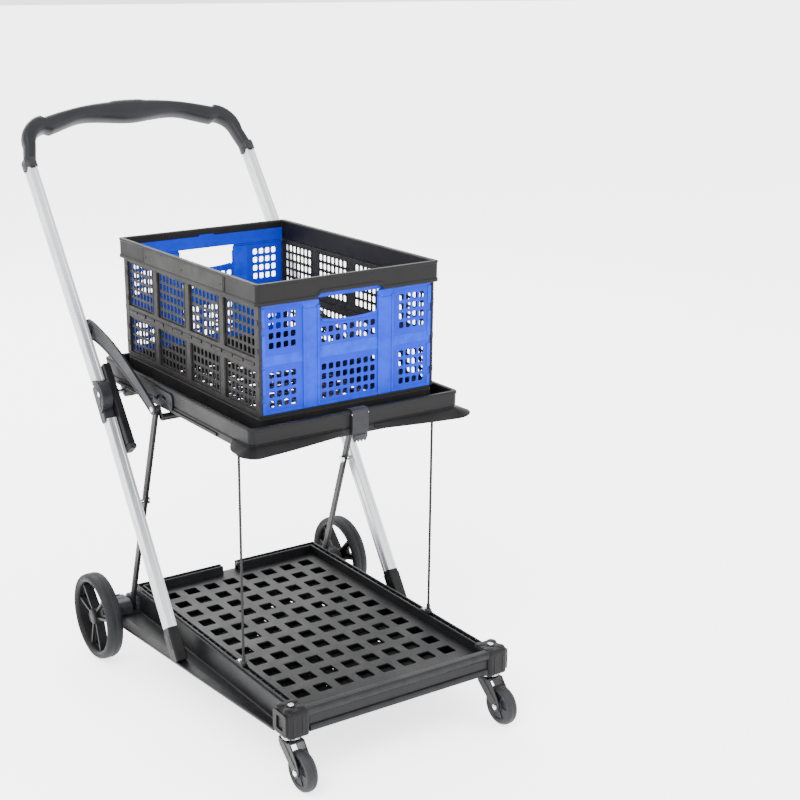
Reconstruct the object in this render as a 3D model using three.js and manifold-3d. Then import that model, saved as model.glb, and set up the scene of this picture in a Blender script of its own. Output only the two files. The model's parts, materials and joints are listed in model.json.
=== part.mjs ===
// Folding platform cart: a perforated base on two big wheels and two casters, scissor side frames that
// carry an upper tray with a collapsible crate, and a push handle that folds over the crate.
// Millimetres, +Z up, +X to the right, the casters towards -Y and the handle towards +Y.
// Everything is laid out from the rear axle (y = 0) and the floor (z = 0); the last lines centre it.
import * as THREE from "three";
import { mergeVertices } from "three/addons/utils/BufferGeometryUtils.js";
import Module from "manifold-3d";

// ---- driving dimensions ----
const gap = 0.3; // left between pieces that touch
const running = 0.6; // left round what turns

// rear wheels and axle
const wheelRadius = 89;
const wheelWidth = 34;
const wheelOutboard = 62.5; // from the base's side to the wheel's inner face
const tyreDepth = 9;
const hubRadius = 16;
const axleRadius = 5;
const spokeCount = 3;

// casters
const casterRadius = 37.5;
const casterWidth = 22;
const casterTyreDepth = 9;
const casterBolt = 3;
const casterTrail = 38; // from the swivel axis forward to the wheel's axle
const casterOutboard = 2; // swivel axis outside the base's side
const casterSetback = 24; // swivel axis behind the base's front
const forkPlate = 2.5;
const raceRadius = 19;

// base
const casterRoom = 69; // from the top of the caster wheel to the top of the base
const baseHeight = 47;
const baseHalf = 216; // half the width over the deck's rim
const baseFront = -655;
const baseRear = -13;
const deckDrop = 18; // deck below the top of the rim
const deckThick = 4;
const panThick = 2; // closed pan under the deck
const rimWide = 17;
const holeSide = 27;
const holePitchX = 46;
const holePitchY = 50;
const holeMargin = 10; // least plain strip beside the holes
const holeFront = 84; // from the front of the base to the middle of the first row
const rearGap = 36; // the break in the rear rim
const channelOut = 62; // how far the side channel reaches out from the rim at its rear end
const channelTaper = 27; // how much less at its front end
const channelThick = 5;
const channelDepth = 47; // from the top of the base to the floor that the foot runs on
const lipDrop = 13; // lower edge of the channel's outer lip under that floor
const lipHigh = 6;
const blockHalf = 24; // half the width of a corner block

// folding frame, all in the plane of one side, with heights from the top of the base
const pivotY = -29.7; // strut's lower pivot
const pivotDrop = 36;
const strutTopY = -181;
const strutRise = 422.5;
const footY = -273; // lower end of the leg
const footDrop = 26.5;
const kneeY = 7; // knuckle between leg and handle
const kneeRise = 403.5;
const handleLean = 53.4; // degrees from level
const handleTube = 507; // from the knuckle to the grip
const gripRise = 150; // from the end of the tube to the top of the grip
const gripArch = 31; // how much lower the grip's top is near its corners
const gripRadius = 13;
const gripCorners = [[13, 32], [31, 11], [59, 0]]; // in from the tube, and down from the shoulder
const hingeOut = 16; // handle hinge, in front of the tube's middle line
const tubeWide = 20;
const tubeDeep = 26;
const strutOutboard = 16.5; // middle of the strut outside the base's side
const tubeOutboard = 23.5; // middle of legs and handle tubes outside the strut's middle
const armOutboard = 7.5; // middle of the arm outside the strut's middle
const strutThick = 7;
const strutDeep = 13;
const armThick = 5;
const armReach = 143; // from the knuckle up the handle to the arm's upper pin
const channelDrop = 122; // how far the handle's inner channel hangs below the knuckle
const channelRise = 60; // how far it runs up the tube
const channelWide = 15;

// upper tray
const trayOutset = 4; // tray's side outside the base's side
const trayFront = -514;
const trayRear = 74;
const trayRise = 466; // from the top of the base to the top of the tray
const trayHeight = 45;
const trayWall = 9;
const trayFloor = 4;
const trayCorner = 12;
const skirtOut = 13; // how far the front corners' skirts stand out forward
const earOut = 26; // and sideways
const skirtWide = 60;
const skirtLong = 70;

// crate
const crateMargin = 30; // crate's rim inside the tray's side
const crateFront = -490;
const crateRear = 50;
const crateTall = 240; // from the top of the tray to the top of the crate
const crateRim = 38; // height of the rim band
const crateInset = 8; // walls behind the rim's outer face
const crateWall = 5;
const crateCurb = 49; // height of the crate's bottom frame
const crateFold = 89; // from there to the side wall's folding line
const rimThick = 11;
const slotWide = 122;
const slotHigh = 36;
const slotDrop = 5; // from the end panel's hinge to the top of the hand slot

// ropes
const ropeRadius = 2.4;
const ropeInset = 8; // rope inside the base's side
const ropeY = -450;

// ---- what follows from them ----
const baseTop = 2 * casterRadius + casterRoom;
const deckTop = baseTop - deckDrop;
const channelFloor = baseTop - channelDepth;
const pivotZ = baseTop - pivotDrop;
const footZ = baseTop - footDrop;
const strutTopZ = baseTop + strutRise;
const kneeZ = baseTop + kneeRise;
const trayTop = baseTop + trayRise;
const crateTop = trayTop + crateTall;
const casterX = baseHalf + casterOutboard;
const casterY = baseFront + casterSetback;
const strutX = baseHalf + strutOutboard;
const tubeX = strutX + tubeOutboard;
const armX = strutX + armOutboard;
const trayHalf = baseHalf + trayOutset;
const crateHalf = trayHalf - crateMargin;
const ropeX = baseHalf - ropeInset;

const wasm = await Module();
wasm.setup();

// ---- helpers ----
const surface = (color, roughness, metalness) =>
  new THREE.MeshStandardMaterial({ color, roughness, metalness });
const plastic = (color, roughness = 0.55) => surface(color, roughness, 0);
const metal = (color, roughness = 0.3) => surface(color, roughness, 1);
const blackPlastic = plastic(0x1b1b1c);
const greyPlastic = plastic(0x3a3b3d, 0.5);
const bluePlastic = plastic(0x1d66e6, 0.45);
const rubber = plastic(0x2a2b2c, 0.8);
const aluminium = metal(0xc9cbcc, 0.35);
const blackSteel = metal(0x1d1e20, 0.4);
const brightSteel = metal(0xe0e1e2, 0.2);
const cord = plastic(0x151515, 0.9);

// A three.js geometry as a manifold-3d solid.
function solid(geometry) {
  const bare = geometry.clone();
  bare.deleteAttribute("normal");
  bare.deleteAttribute("uv");
  const merged = mergeVertices(bare, 1e-4);
  return new wasm.Manifold(
    new wasm.Mesh({
      numProp: 3,
      vertProperties: merged.attributes.position.array,
      triVerts: new Uint32Array(merged.index.array),
    }),
  );
}

// A manifold-3d solid as a three.js geometry.
function geometryOf(body) {
  const { vertProperties, triVerts, numProp } = body.getMesh();
  const positions = new Float32Array((vertProperties.length / numProp) * 3);
  for (let i = 0; i < positions.length / 3; i++)
    positions.set(vertProperties.subarray(i * numProp, i * numProp + 3), i * 3);
  const geometry = new THREE.BufferGeometry();
  geometry.setAttribute("position", new THREE.BufferAttribute(positions, 3));
  geometry.setIndex(new THREE.BufferAttribute(triVerts, 1));
  geometry.computeVertexNormals();
  return geometry;
}

const join = (...bodies) => bodies.reduce((sum, body) => sum.add(body));
const cut = (body, ...tools) => tools.reduce((rest, tool) => rest.subtract(tool), body);

function box(x0, x1, y0, y1, z0, z1) {
  const geometry = new THREE.BoxGeometry(x1 - x0, y1 - y0, z1 - z0);
  return solid(geometry.translate((x0 + x1) / 2, (y0 + y1) / 2, (z0 + z1) / 2));
}

function outline(points) {
  return new THREE.Shape(points.map(([a, b]) => new THREE.Vector2(a, b)));
}

// An outline in plan, raised from z0 to z1.
function plate(shape, z0, z1, curveSegments = 4) {
  const geometry = new THREE.ExtrudeGeometry(shape, { depth: z1 - z0, bevelEnabled: false, curveSegments });
  return solid(geometry.translate(0, 0, z0));
}

// Side views (y, z) run from x0 to x1, and front views (x, z) from y0 to y1.
const sideBasis = new THREE.Matrix4().set(0, 0, 1, 0, 1, 0, 0, 0, 0, 1, 0, 0, 0, 0, 0, 1);
const frontBasis = new THREE.Matrix4().set(1, 0, 0, 0, 0, 0, -1, 0, 0, 1, 0, 0, 0, 0, 0, 1);

function side(shape, x0, x1, curveSegments = 6) {
  const geometry = new THREE.ExtrudeGeometry(shape, { depth: x1 - x0, bevelEnabled: false, curveSegments });
  return solid(geometry.translate(0, 0, x0).applyMatrix4(sideBasis));
}

function front(shape, y0, y1, curveSegments = 4) {
  const geometry = new THREE.ExtrudeGeometry(shape, { depth: y1 - y0, bevelEnabled: false, curveSegments });
  return solid(geometry.translate(0, 0, -y1).applyMatrix4(frontBasis));
}

function roundedRect(a0, a1, b0, b1, r) {
  const shape = new THREE.Shape();
  shape.moveTo(a0 + r, b0).lineTo(a1 - r, b0).absarc(a1 - r, b0 + r, r, -Math.PI / 2, 0);
  shape.lineTo(a1, b1 - r).absarc(a1 - r, b1 - r, r, 0, Math.PI / 2);
  shape.lineTo(a0 + r, b1).absarc(a0 + r, b1 - r, r, Math.PI / 2, Math.PI);
  shape.lineTo(a0, b0 + r).absarc(a0 + r, b0 + r, r, Math.PI, 1.5 * Math.PI);
  return shape;
}

// A round piece along X. A corner of its polygon points straight down.
function roundX(x0, x1, y, z, radius, segments = 24) {
  const geometry = new THREE.CylinderGeometry(radius, radius, x1 - x0, segments);
  return solid(geometry.rotateZ(Math.PI / 2).translate((x0 + x1) / 2, y, z));
}

function roundZ(x, y, z0, z1, radius, segments = 20) {
  const geometry = new THREE.CylinderGeometry(radius, radius, z1 - z0, segments);
  return solid(geometry.rotateX(Math.PI / 2).translate(x, y, (z0 + z1) / 2));
}

// A flat bar with round ends between two points of the side view.
function link(p, q, deep, x0, x1, segments = 6) {
  const angle = Math.atan2(q[1] - p[1], q[0] - p[0]);
  const shape = new THREE.Shape();
  shape.absarc(q[0], q[1], deep / 2, angle - Math.PI / 2, angle + Math.PI / 2);
  shape.absarc(p[0], p[1], deep / 2, angle + Math.PI / 2, angle + 1.5 * Math.PI);
  return side(shape, x0, x1, segments);
}

// A square-ended bar from a start point along a direction, between two offsets on its left side.
function bar(start, direction, from, to, low, high, x0, x1) {
  const at = (along, out) => [
    start[0] + direction[0] * along - direction[1] * out,
    start[1] + direction[1] * along + direction[0] * out,
  ];
  return side(outline([at(from, low), at(to, low), at(to, high), at(from, high)]), x0, x1);
}

const cart = new THREE.Group();

function add(name, body, material) {
  const mesh = new THREE.Mesh(geometryOf(body), material);
  mesh.name = name;
  cart.add(mesh);
}

// Makes the left (-X) and right (+X) copies of a piece from the right one.
function addPair(name, body, material) {
  add(name + "_right", body, material);
  add(name + "_left", body.mirror([1, 0, 0]), material);
}

// ---- directions in the side view ----
const legLength = Math.hypot(kneeY - footY, kneeZ - footZ);
const legWay = [(kneeY - footY) / legLength, (kneeZ - footZ) / legLength];
const lean = THREE.MathUtils.degToRad(handleLean);
const handleWay = [Math.cos(lean), Math.sin(lean)];
const knee = [kneeY, kneeZ];
const foot = [footY, footZ];
const strutTop = [strutTopY, strutTopZ];
const strutFoot = [pivotY, pivotZ];
const hinge = [kneeY - handleWay[1] * hingeOut, kneeZ + handleWay[0] * hingeOut];
const armPin = [kneeY + handleWay[0] * armReach, kneeZ + handleWay[1] * armReach];

// Where leg and strut cross.
function crossing() {
  const rise = [strutTop[0] - strutFoot[0], strutTop[1] - strutFoot[1]];
  const away = [foot[0] - strutFoot[0], foot[1] - strutFoot[1]];
  const along = (away[0] * legWay[1] - away[1] * legWay[0]) / (rise[0] * legWay[1] - rise[1] * legWay[0]);
  return [strutFoot[0] + rise[0] * along, strutFoot[1] + rise[1] * along];
}
const cross = crossing();

// ---- base ----
const baseBottom = baseTop - baseHeight;
const holeFirstY = baseFront + holeFront;
const holeColumns = Math.floor((2 * (baseHalf - rimWide - holeMargin)) / holePitchX);
const holeRows = Math.floor((baseRear - rimWide - holeMargin - holeSide / 2 - holeFirstY) / holePitchY) + 1;

function basePlatform() {
  const rim = baseHalf - rimWide;
  const deck = roundedRect(-baseHalf, baseHalf, baseFront, baseRear, 6);
  let body = plate(deck, baseBottom, baseTop);
  const inside = roundedRect(-rim, rim, baseFront + rimWide + 6, baseRear - rimWide, 4);
  body = cut(body, plate(inside, deckTop, baseTop + 1));
  const under = roundedRect(-baseHalf + 5, baseHalf - 5, baseFront + 5, baseRear - 5, 4);
  body = cut(body, plate(under, baseBottom + panThick, deckTop - deckThick));
  const cuts = [];
  for (let i = 0; i < holeColumns; i++)
    for (let j = 0; j < holeRows; j++) {
      const x = (i - (holeColumns - 1) / 2) * holePitchX;
      const y = holeFirstY + j * holePitchY;
      cuts.push(
        box(x - holeSide / 2, x + holeSide / 2, y - holeSide / 2, y + holeSide / 2, deckTop - deckThick - 1,
          deckTop + 1),
      );
    }
  body = body.subtract(wasm.Manifold.union(cuts));
  const rearBreak = box(-rearGap / 2, rearGap / 2, baseRear - rimWide - 5, baseRear + 1, deckTop + 1,
    baseTop + 1);
  body = cut(body, rearBreak);
  // recessed band of the front apron
  const band = box(-casterX + blockHalf + 6, casterX - blockHalf - 6, baseFront - 1, baseFront + 3,
    baseBottom + 12, baseTop - 14);
  body = cut(body, band);
  // corner blocks stand in the two front corners, and the axle passes through both rear sides
  for (const s of [-1, 1]) {
    const x = s * casterX;
    body = cut(
      body,
      box(x - blockHalf - gap, x + blockHalf + gap, baseFront - 1, casterY + blockHalf + gap, 0, baseTop + 1),
    );
  }
  return cut(body, roundX(-baseHalf - 1, baseHalf + 1, 0, wheelRadius, axleRadius + gap, 16));
}
add("base_platform", basePlatform(), blackPlastic);

// The channel beside the deck that the leg's foot slides in, with its sloping lower lip.
const channelStart = casterY + blockHalf + gap;
const channelEnd = pivotY - 14 - gap;
function sideChannel() {
  const x0 = baseHalf + gap;
  const x1 = baseHalf + channelOut;
  const section = outline([
    [x0, channelFloor - channelThick],
    [x1 - 16, channelFloor - channelThick],
    [x1, channelFloor - lipDrop],
    [x1, channelFloor - lipDrop + lipHigh],
    [x1 - 14, channelFloor],
    [x0 + channelThick, channelFloor],
    [x0 + channelThick, baseTop - 4],
    [x0, baseTop - 4],
  ]);
  // the outer part is drawn in at the front end
  return front(section, channelStart, channelEnd).warp((v) => {
    if (v[0] > x0 + channelThick + 1 && v[1] < channelStart + 1) v[0] -= channelTaper;
  });
}
addPair("side_channel", sideChannel(), blackPlastic);

function cornerBlock() {
  const plan = roundedRect(casterX - blockHalf, casterX + blockHalf, baseFront - 3, casterY + blockHalf, 9);
  let body = plate(plan, baseBottom - 2, baseTop + 2, 3);
  const window = box(casterX + blockHalf - 7, casterX + blockHalf + 1, casterY - 10, casterY + 9,
    baseBottom + 10, baseTop - 12);
  body = cut(body, window);
  return cut(body, roundZ(casterX, casterY, baseTop - 9, baseTop + 3, 3.2, 12));
}
addPair("corner_block", cornerBlock(), blackPlastic);

const screwHead = roundZ(casterX, casterY, baseTop + 2 + gap, baseTop + 4, 5.5, 12);
const screwShank = roundZ(casterX, casterY, baseTop - 8, baseTop + 3, 2.8, 12);
addPair("corner_screw", join(screwHead, screwShank), brightSteel);

// ---- rear axle, brackets and wheels ----
const pinRadius = 4;
const wheelIn = baseHalf + wheelOutboard;
const wheelOut = wheelIn + wheelWidth;
const bracketIn = baseHalf + gap;
const bracketOut = wheelIn - 3;
const axle = roundX(-wheelOut + 4, wheelOut - 4, 0, wheelRadius, axleRadius, 16);
add("rear_axle", axle, brightSteel);

// Holds the axle and the strut's lower pivot, with a slot that the strut's foot turns in.
function axleBracket() {
  const low = channelFloor - 26;
  const high = pivotZ + 14;
  const shape = outline([
    [pivotY - 14, low], [14, low], [20, wheelRadius + 8], [12, high - 8], [-6, high],
    [pivotY - 4, high], [pivotY - 14, high - 10],
  ]);
  let body = side(shape, bracketIn, bracketOut);
  const reach = strutDeep / 2 + 2;
  const slot = box(strutX - strutThick / 2 - running, strutX + strutThick / 2 + running, pivotY - 40,
    pivotY + reach, pivotZ - reach, high + 1);
  body = cut(body, slot, roundX(bracketIn + 2, strutX, pivotY, pivotZ, pinRadius + running, 16));
  return cut(body, roundX(bracketIn - 1, bracketOut + 1, 0, wheelRadius, axleRadius + gap, 16));
}
addPair("axle_bracket", axleBracket(), greyPlastic);

function wheelRim() {
  const inner = wheelRadius - tyreDepth - 7;
  const ringShape = new THREE.Shape().absarc(0, wheelRadius, wheelRadius - tyreDepth - gap, 0, 2 * Math.PI);
  ringShape.holes.push(new THREE.Path().absarc(0, wheelRadius, inner, 0, 2 * Math.PI));
  let body = side(ringShape, wheelIn + 1, wheelOut - 1, 20);
  body = body.add(roundX(wheelIn - 1, wheelOut - 3, 0, wheelRadius, hubRadius, 20));
  for (let i = 0; i < spokeCount; i++) {
    const middle = -Math.PI / 2 + (i * 2 * Math.PI) / spokeCount;
    for (const turn of [-0.32, 0.32]) {
      const from = [Math.cos(middle + turn) * hubRadius * 0.7, Math.sin(middle + turn) * hubRadius * 0.7];
      const to = [Math.cos(middle + turn * 0.95) * (inner + 3), Math.sin(middle + turn * 0.95) * (inner + 3)];
      const spoke = link([from[0], from[1] + wheelRadius], [to[0], to[1] + wheelRadius], 4, wheelIn + 6,
        wheelOut - 6, 2);
      body = body.add(spoke);
    }
  }
  return cut(body, roundX(wheelIn - 2, wheelOut + 1, 0, wheelRadius, axleRadius + running, 16));
}
addPair("rear_rim", wheelRim(), blackPlastic);

function tyreRing(radius, depth, x0, x1, y, z, segments) {
  const w = (x1 - x0) / 2;
  const profile = [
    [radius - depth, -w], [radius - 3, -w], [radius, -w + 5], [radius, w - 5], [radius - 3, w],
    [radius - depth, w], [radius - depth, -w],
  ];
  const lathe = new THREE.LatheGeometry(profile.map(([r, a]) => new THREE.Vector2(r, a)), segments);
  return solid(lathe.rotateZ(Math.PI / 2).translate((x0 + x1) / 2, y, z));
}
addPair("rear_tyre", tyreRing(wheelRadius, tyreDepth, wheelIn, wheelOut, 0, wheelRadius, 48), rubber);

// ---- casters ----
const casterAxleY = casterY - casterTrail;
const raceTop = baseBottom - 2 - gap;
const raceLow = raceTop - 10;
const casterRace = join(
  roundZ(casterX, casterY, raceTop - 4, raceTop, raceRadius, 24),
  roundZ(casterX, casterY, raceLow, raceTop - 3, raceRadius - 4, 24),
);
addPair("caster_race", casterRace, brightSteel);

function casterFork() {
  const topZ = raceLow - gap;
  const half = casterWidth / 2 + 2;
  let body = null;
  for (const s of [-1, 1]) {
    const x0 = casterX + (s > 0 ? half : -half - forkPlate);
    const shape = outline([
      [casterY + 17, topZ], [casterY + 17, topZ - 12], [casterAxleY + 9, casterRadius - 7],
      [casterAxleY, casterRadius - 11], [casterAxleY - 9, casterRadius - 7],
      [casterAxleY - 10, casterRadius + 6], [casterY - 20, topZ],
    ]);
    const cheek = side(shape, x0, x0 + forkPlate);
    body = body ? body.add(cheek) : cheek;
  }
  const top = box(casterX - half - forkPlate, casterX + half + forkPlate, casterY - 20, casterY + 17,
    topZ - forkPlate, topZ);
  body = body.add(top);
  return cut(body, roundX(casterX - 30, casterX + 30, casterAxleY, casterRadius, casterBolt + gap, 12));
}
addPair("caster_fork", casterFork(), blackSteel);

const boltOut = casterWidth / 2 + 2 + forkPlate + gap;
const casterPin = join(
  roundX(casterX - boltOut - 2, casterX + boltOut + 2, casterAxleY, casterRadius, casterBolt, 12),
  roundX(casterX - boltOut - 3, casterX - boltOut, casterAxleY, casterRadius, casterBolt + 2.5, 12),
  roundX(casterX + boltOut, casterX + boltOut + 3, casterAxleY, casterRadius, casterBolt + 2.5, 12),
);
addPair("caster_bolt", casterPin, brightSteel);

const casterHub = cut(
  roundX(casterX - casterWidth / 2 - 1, casterX + casterWidth / 2 + 1, casterAxleY, casterRadius,
    casterRadius - casterTyreDepth - gap, 28),
  roundX(casterX - 30, casterX + 30, casterAxleY, casterRadius, casterBolt + running, 12),
);
addPair("caster_hub", casterHub, greyPlastic);
const casterTyre = tyreRing(casterRadius, casterTyreDepth, casterX - casterWidth / 2,
  casterX + casterWidth / 2, casterAxleY, casterRadius, 36);
addPair("caster_tyre", casterTyre, rubber);

// ---- struts with their cross bar ----
const strutIn = strutX - strutThick / 2;
const strutOut = strutX + strutThick / 2;
const armIn = armX - armThick / 2;
const armOut = armX + armThick / 2;
// The stud at the top carries the arm, and the stub at the foot turns in the axle bracket.
function strut() {
  const stub = roundX(bracketIn + 3, strutOut - 1, pivotY, pivotZ, pinRadius, 16);
  let body = join(link(strutFoot, strutTop, strutDeep, strutIn, strutOut), stub);
  body = cut(body, roundX(strutIn - 1, strutOut + 1, cross[0], cross[1], pinRadius + gap, 16));
  return body.add(roundX(strutIn, armOut + 2, strutTopY, strutTopZ, pinRadius, 16));
}
addPair("strut", strut(), blackSteel);

// The bar hangs from the strut tops on two ears, low enough to clear the tray at every angle.
const barY = strutTopY - 9;
const barZ = strutTopZ - 15.6;
const ear = (x) => link(strutTop, [barY, barZ], 12, x, x + 3);
const crossBar = join(
  roundX(-strutIn + gap, strutIn - gap, barY, barZ, 7, 16),
  ear(strutIn - gap - 3),
  ear(-strutIn + gap),
);
add("strut_cross_bar", crossBar, blackSteel);

const legIn = tubeX - tubeWide / 2;
const legOut = tubeX + tubeWide / 2;
const scissorPin = join(
  roundX(strutIn - 3, legIn + 4, cross[0], cross[1], pinRadius, 16),
  roundX(strutIn - 6, strutIn - gap, cross[0], cross[1], pinRadius + 3.5, 16),
);
addPair("scissor_pin", scissorPin, brightSteel);

// ---- legs ----
const footCapLength = 40;
const legTop = legLength - 52;
let leg = bar(foot, legWay, footCapLength + gap, legTop, -tubeDeep / 2, tubeDeep / 2, legIn, legOut);
leg = cut(leg, roundX(legIn - 1, legIn + 5, cross[0], cross[1], pinRadius + gap, 16));
addPair("leg_tube", leg, aluminium);

// The foot is cut off level, and slides on the channel's floor.
function footCap() {
  const deep = tubeDeep / 2 + 2;
  const body = bar(foot, legWay, -24, footCapLength, -deep, deep, legIn - 2, legOut + 2);
  const below = box(legIn - 10, legOut + 10, footY - 100, footY + 100, channelFloor - 60,
    channelFloor + running);
  return cut(body, below);
}
addPair("foot_cap", footCap(), blackPlastic);

// The knuckle's half-moon cover is fixed on the end of the leg and holds the handle's hinge.
function knuckle() {
  const start = legTop + gap;
  const low = -tubeDeep / 2 - 1;
  const body = bar(foot, legWay, start, legLength + 24, low, tubeDeep / 2 - 4, legIn, legOut + 3);
  const moon = new THREE.Shape();
  const angle = Math.atan2(legWay[1], legWay[0]);
  moon.absarc(knee[0], knee[1], 34, angle + 0.1, angle + Math.PI - 0.1);
  const cover = join(body, side(moon, legOut + running, legOut + 6, 12));
  return cut(cover, roundX(legOut - 30, legOut + 5, hinge[0], hinge[1], pinRadius + gap, 16));
}
addPair("knuckle", knuckle(), greyPlastic);

// One pin carries the handle's hinge and the tray's lug.
const lugIn = trayHalf - 26;
const lugOut = trayHalf - 4;
addPair("knuckle_pin", roundX(lugIn - 3, legOut + 5 - gap, hinge[0], hinge[1], pinRadius, 16), brightSteel);

// ---- handle ----
const tubeStart = 31;
const handle = bar(knee, handleWay, tubeStart, handleTube, -tubeDeep / 2, tubeDeep / 2, legIn, legOut);
addPair("handle_tube", handle, aluminium);

// The channel inside the handle's tube runs past the knuckle and ends in a rubber foot.
const channelIn = legIn - gap - channelWide;
const channelBack = hingeOut - 24;
const channelFront = hingeOut + 8;
const channelLength = [-channelDrop + 12, channelRise];
const handleChannel = cut(
  bar(knee, handleWay, channelLength[0], channelLength[1], channelBack, channelFront, channelIn,
    legIn - gap),
  roundX(channelIn - 1, legIn, hinge[0], hinge[1], pinRadius + running, 16),
);
addPair("handle_channel", handleChannel, blackPlastic);
const standFoot = bar(knee, handleWay, -channelDrop, -channelDrop + 12 - gap, channelBack - 1,
  channelFront + 1, channelIn - 1, legIn - gap);
addPair("stand_foot", standFoot, rubber);

// The grip is one bow over both tubes, swept in the handle's own plane.
function grip() {
  const end = handleTube + gap;
  const top = handleTube + gripRise - gripRadius;
  const shoulder = top - gripArch;
  const flat = tubeX - gripCorners[2][0];
  const half = [
    [tubeX, end - 8],
    [tubeX - 3, end + 40],
    ...gripCorners.map(([inward, down]) => [tubeX - inward, shoulder - down]),
    [0.7 * flat, top - 0.49 * gripArch],
    [0.35 * flat, top - 0.12 * gripArch],
  ];
  const arch = [...half, [0, top], ...half.map(([x, s]) => [-x, s]).reverse()];
  const at = ([x, s]) => new THREE.Vector3(x, knee[0] + handleWay[0] * s, knee[1] + handleWay[1] * s);
  const path = new THREE.CatmullRomCurve3(arch.map(at), false, "centripetal");
  const section = new THREE.Shape().absarc(0, 0, gripRadius, 0, 2 * Math.PI);
  const bow = new THREE.ExtrudeGeometry(section, {
    steps: 44, bevelEnabled: false, extrudePath: path, curveSegments: 6,
  });
  let body = solid(bow);
  for (const s of [-1, 1]) {
    const x = s * tubeX;
    const socket = bar(knee, handleWay, handleTube - 60, end, -tubeDeep / 2 - gap, tubeDeep / 2 + gap,
      x - tubeWide / 2 - gap, x + tubeWide / 2 + gap);
    body = cut(body, socket);
  }
  return body;
}
add("handle_grip", grip(), blackPlastic);

// ---- arms that tie the strut tops to the handle ----
function arm() {
  const middle = [(strutTop[0] * 0.45 + armPin[0] * 0.55), (strutTop[1] * 0.45 + armPin[1] * 0.55) + 14];
  let body = join(link(strutTop, middle, 24, armIn, armOut), link(middle, armPin, 34, armIn, armOut));
  body = cut(body, roundX(armIn - 1, armOut + 1, strutTopY, strutTopZ, pinRadius + gap, 16));
  return body;
}
addPair("arm", arm(), greyPlastic);

// ---- upper tray ----
const trayBottom = trayTop - trayHeight;
function tray() {
  const outer = roundedRect(-trayHalf, trayHalf, trayFront, trayRear, trayCorner);
  const inner = roundedRect(-trayHalf + trayWall, trayHalf - trayWall, trayFront + trayWall,
    trayRear - trayWall, trayCorner - trayWall);
  let body = plate(outer, trayBottom, trayTop);
  for (const s of [-1, 1]) {
    const x0 = s > 0 ? trayHalf - skirtWide : -trayHalf - earOut;
    const skirt = roundedRect(x0, x0 + skirtWide + earOut, trayFront - skirtOut, trayFront + skirtLong, 16);
    body = body.add(plate(skirt, trayBottom + 1, trayBottom + 9));
  }
  return cut(body, plate(inner, trayBottom + trayFloor, trayTop + 1));
}
add("tray", tray(), blackPlastic);

// The lugs under the tray's rear corners that turn on the knuckles.
function trayHinge() {
  const shape = outline([
    [hinge[0] - 12, hinge[1] - 12], [hinge[0] + 12, hinge[1] - 12], [hinge[0] + 20, trayBottom - gap],
    [hinge[0] - 60, trayBottom - gap],
  ]);
  const bore = roundX(lugIn - 1, lugOut + 1, hinge[0], hinge[1], pinRadius + running, 16);
  return cut(side(shape, lugIn, lugOut), bore);
}
addPair("tray_hinge", trayHinge(), blackPlastic);

const latchHalf = 17;
const trayLatch = join(
  box(-latchHalf, latchHalf, trayFront - 5, trayFront - gap, trayBottom - 14, trayTop + 3),
  box(-latchHalf, latchHalf, trayFront - 5, trayFront + trayWall + 4, trayTop + gap, trayTop + 3),
);
add("tray_latch", trayLatch, greyPlastic);

// ---- crate ----
const crateBottom = trayBottom + trayFloor + 1;
const wallOut = crateHalf - crateInset;
const wallIn = wallOut - crateWall;
const endOut = crateFront + crateInset;
const endRear = crateRear - crateInset;
const rimLow = crateTop - crateRim;
const curbTop = crateBottom + crateCurb;

function crateBase() {
  const outer = box(-wallOut, wallOut, endOut, endRear, crateBottom, curbTop);
  const inner = box(-wallIn + 3, wallIn - 3, endOut + crateWall + 3, endRear - crateWall - 3,
    crateBottom + 4, curbTop + 1);
  return cut(outer, inner);
}
add("crate_base", crateBase(), blackPlastic);

function crateTopRim() {
  const outer = plate(roundedRect(-crateHalf, crateHalf, crateFront, crateRear, 8), rimLow, crateTop);
  const inner = box(-crateHalf + rimThick, crateHalf - rimThick, crateFront + rimThick, crateRear - rimThick,
    rimLow - 1, crateTop + 1);
  return cut(outer, inner);
}
add("crate_rim", crateTopRim(), blackPlastic);

// A side wall in two rows of recessed windows, with the folding line between the rows.
function crateSide() {
  let body = box(wallIn, wallOut, endOut, endRear, curbTop + gap, rimLow - gap);
  const windowCount = 4;
  const windowEdge = 14;
  const wide = (endRear - endOut) / windowCount;
  const foldZ = curbTop + crateFold;
  for (let i = 0; i < windowCount; i++)
    for (const [low, high] of [[curbTop, foldZ], [foldZ, rimLow]]) {
      const y0 = endOut + i * wide + windowEdge;
      const y1 = endOut + (i + 1) * wide - windowEdge;
      const recess = box(wallOut - 2.5, wallOut + 1, y0, y1, low + windowEdge, high - windowEdge);
      body = cut(body, recess);
    }
  return cut(body, box(wallOut - 1.5, wallOut + 1, endOut - 1, endRear + 1, foldZ - 1, foldZ + 1));
}
addPair("crate_side", crateSide(), blackPlastic);

// An end panel hangs from a round edge under the rim, with a hand hole near its top.
const endPivotZ = rimLow - gap - crateWall / 2;
const endLow = curbTop + gap;
function crateEnd(y0, y1) {
  const half = wallIn - running;
  const edge = roundX(-half, half, (y0 + y1) / 2, endPivotZ, crateWall / 2, 12);
  const body = edge.add(box(-half, half, y0, y1, endLow, endPivotZ));
  const slotTop = endPivotZ - slotDrop;
  const slot = roundedRect(-slotWide / 2, slotWide / 2, slotTop - slotHigh, slotTop, 9);
  return cut(body, front(slot, y0 - 1, y1 + 1, 4));
}
add("crate_end_front", crateEnd(endOut, endOut + crateWall), bluePlastic);
add("crate_end_rear", crateEnd(endRear - crateWall, endRear), bluePlastic);

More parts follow.
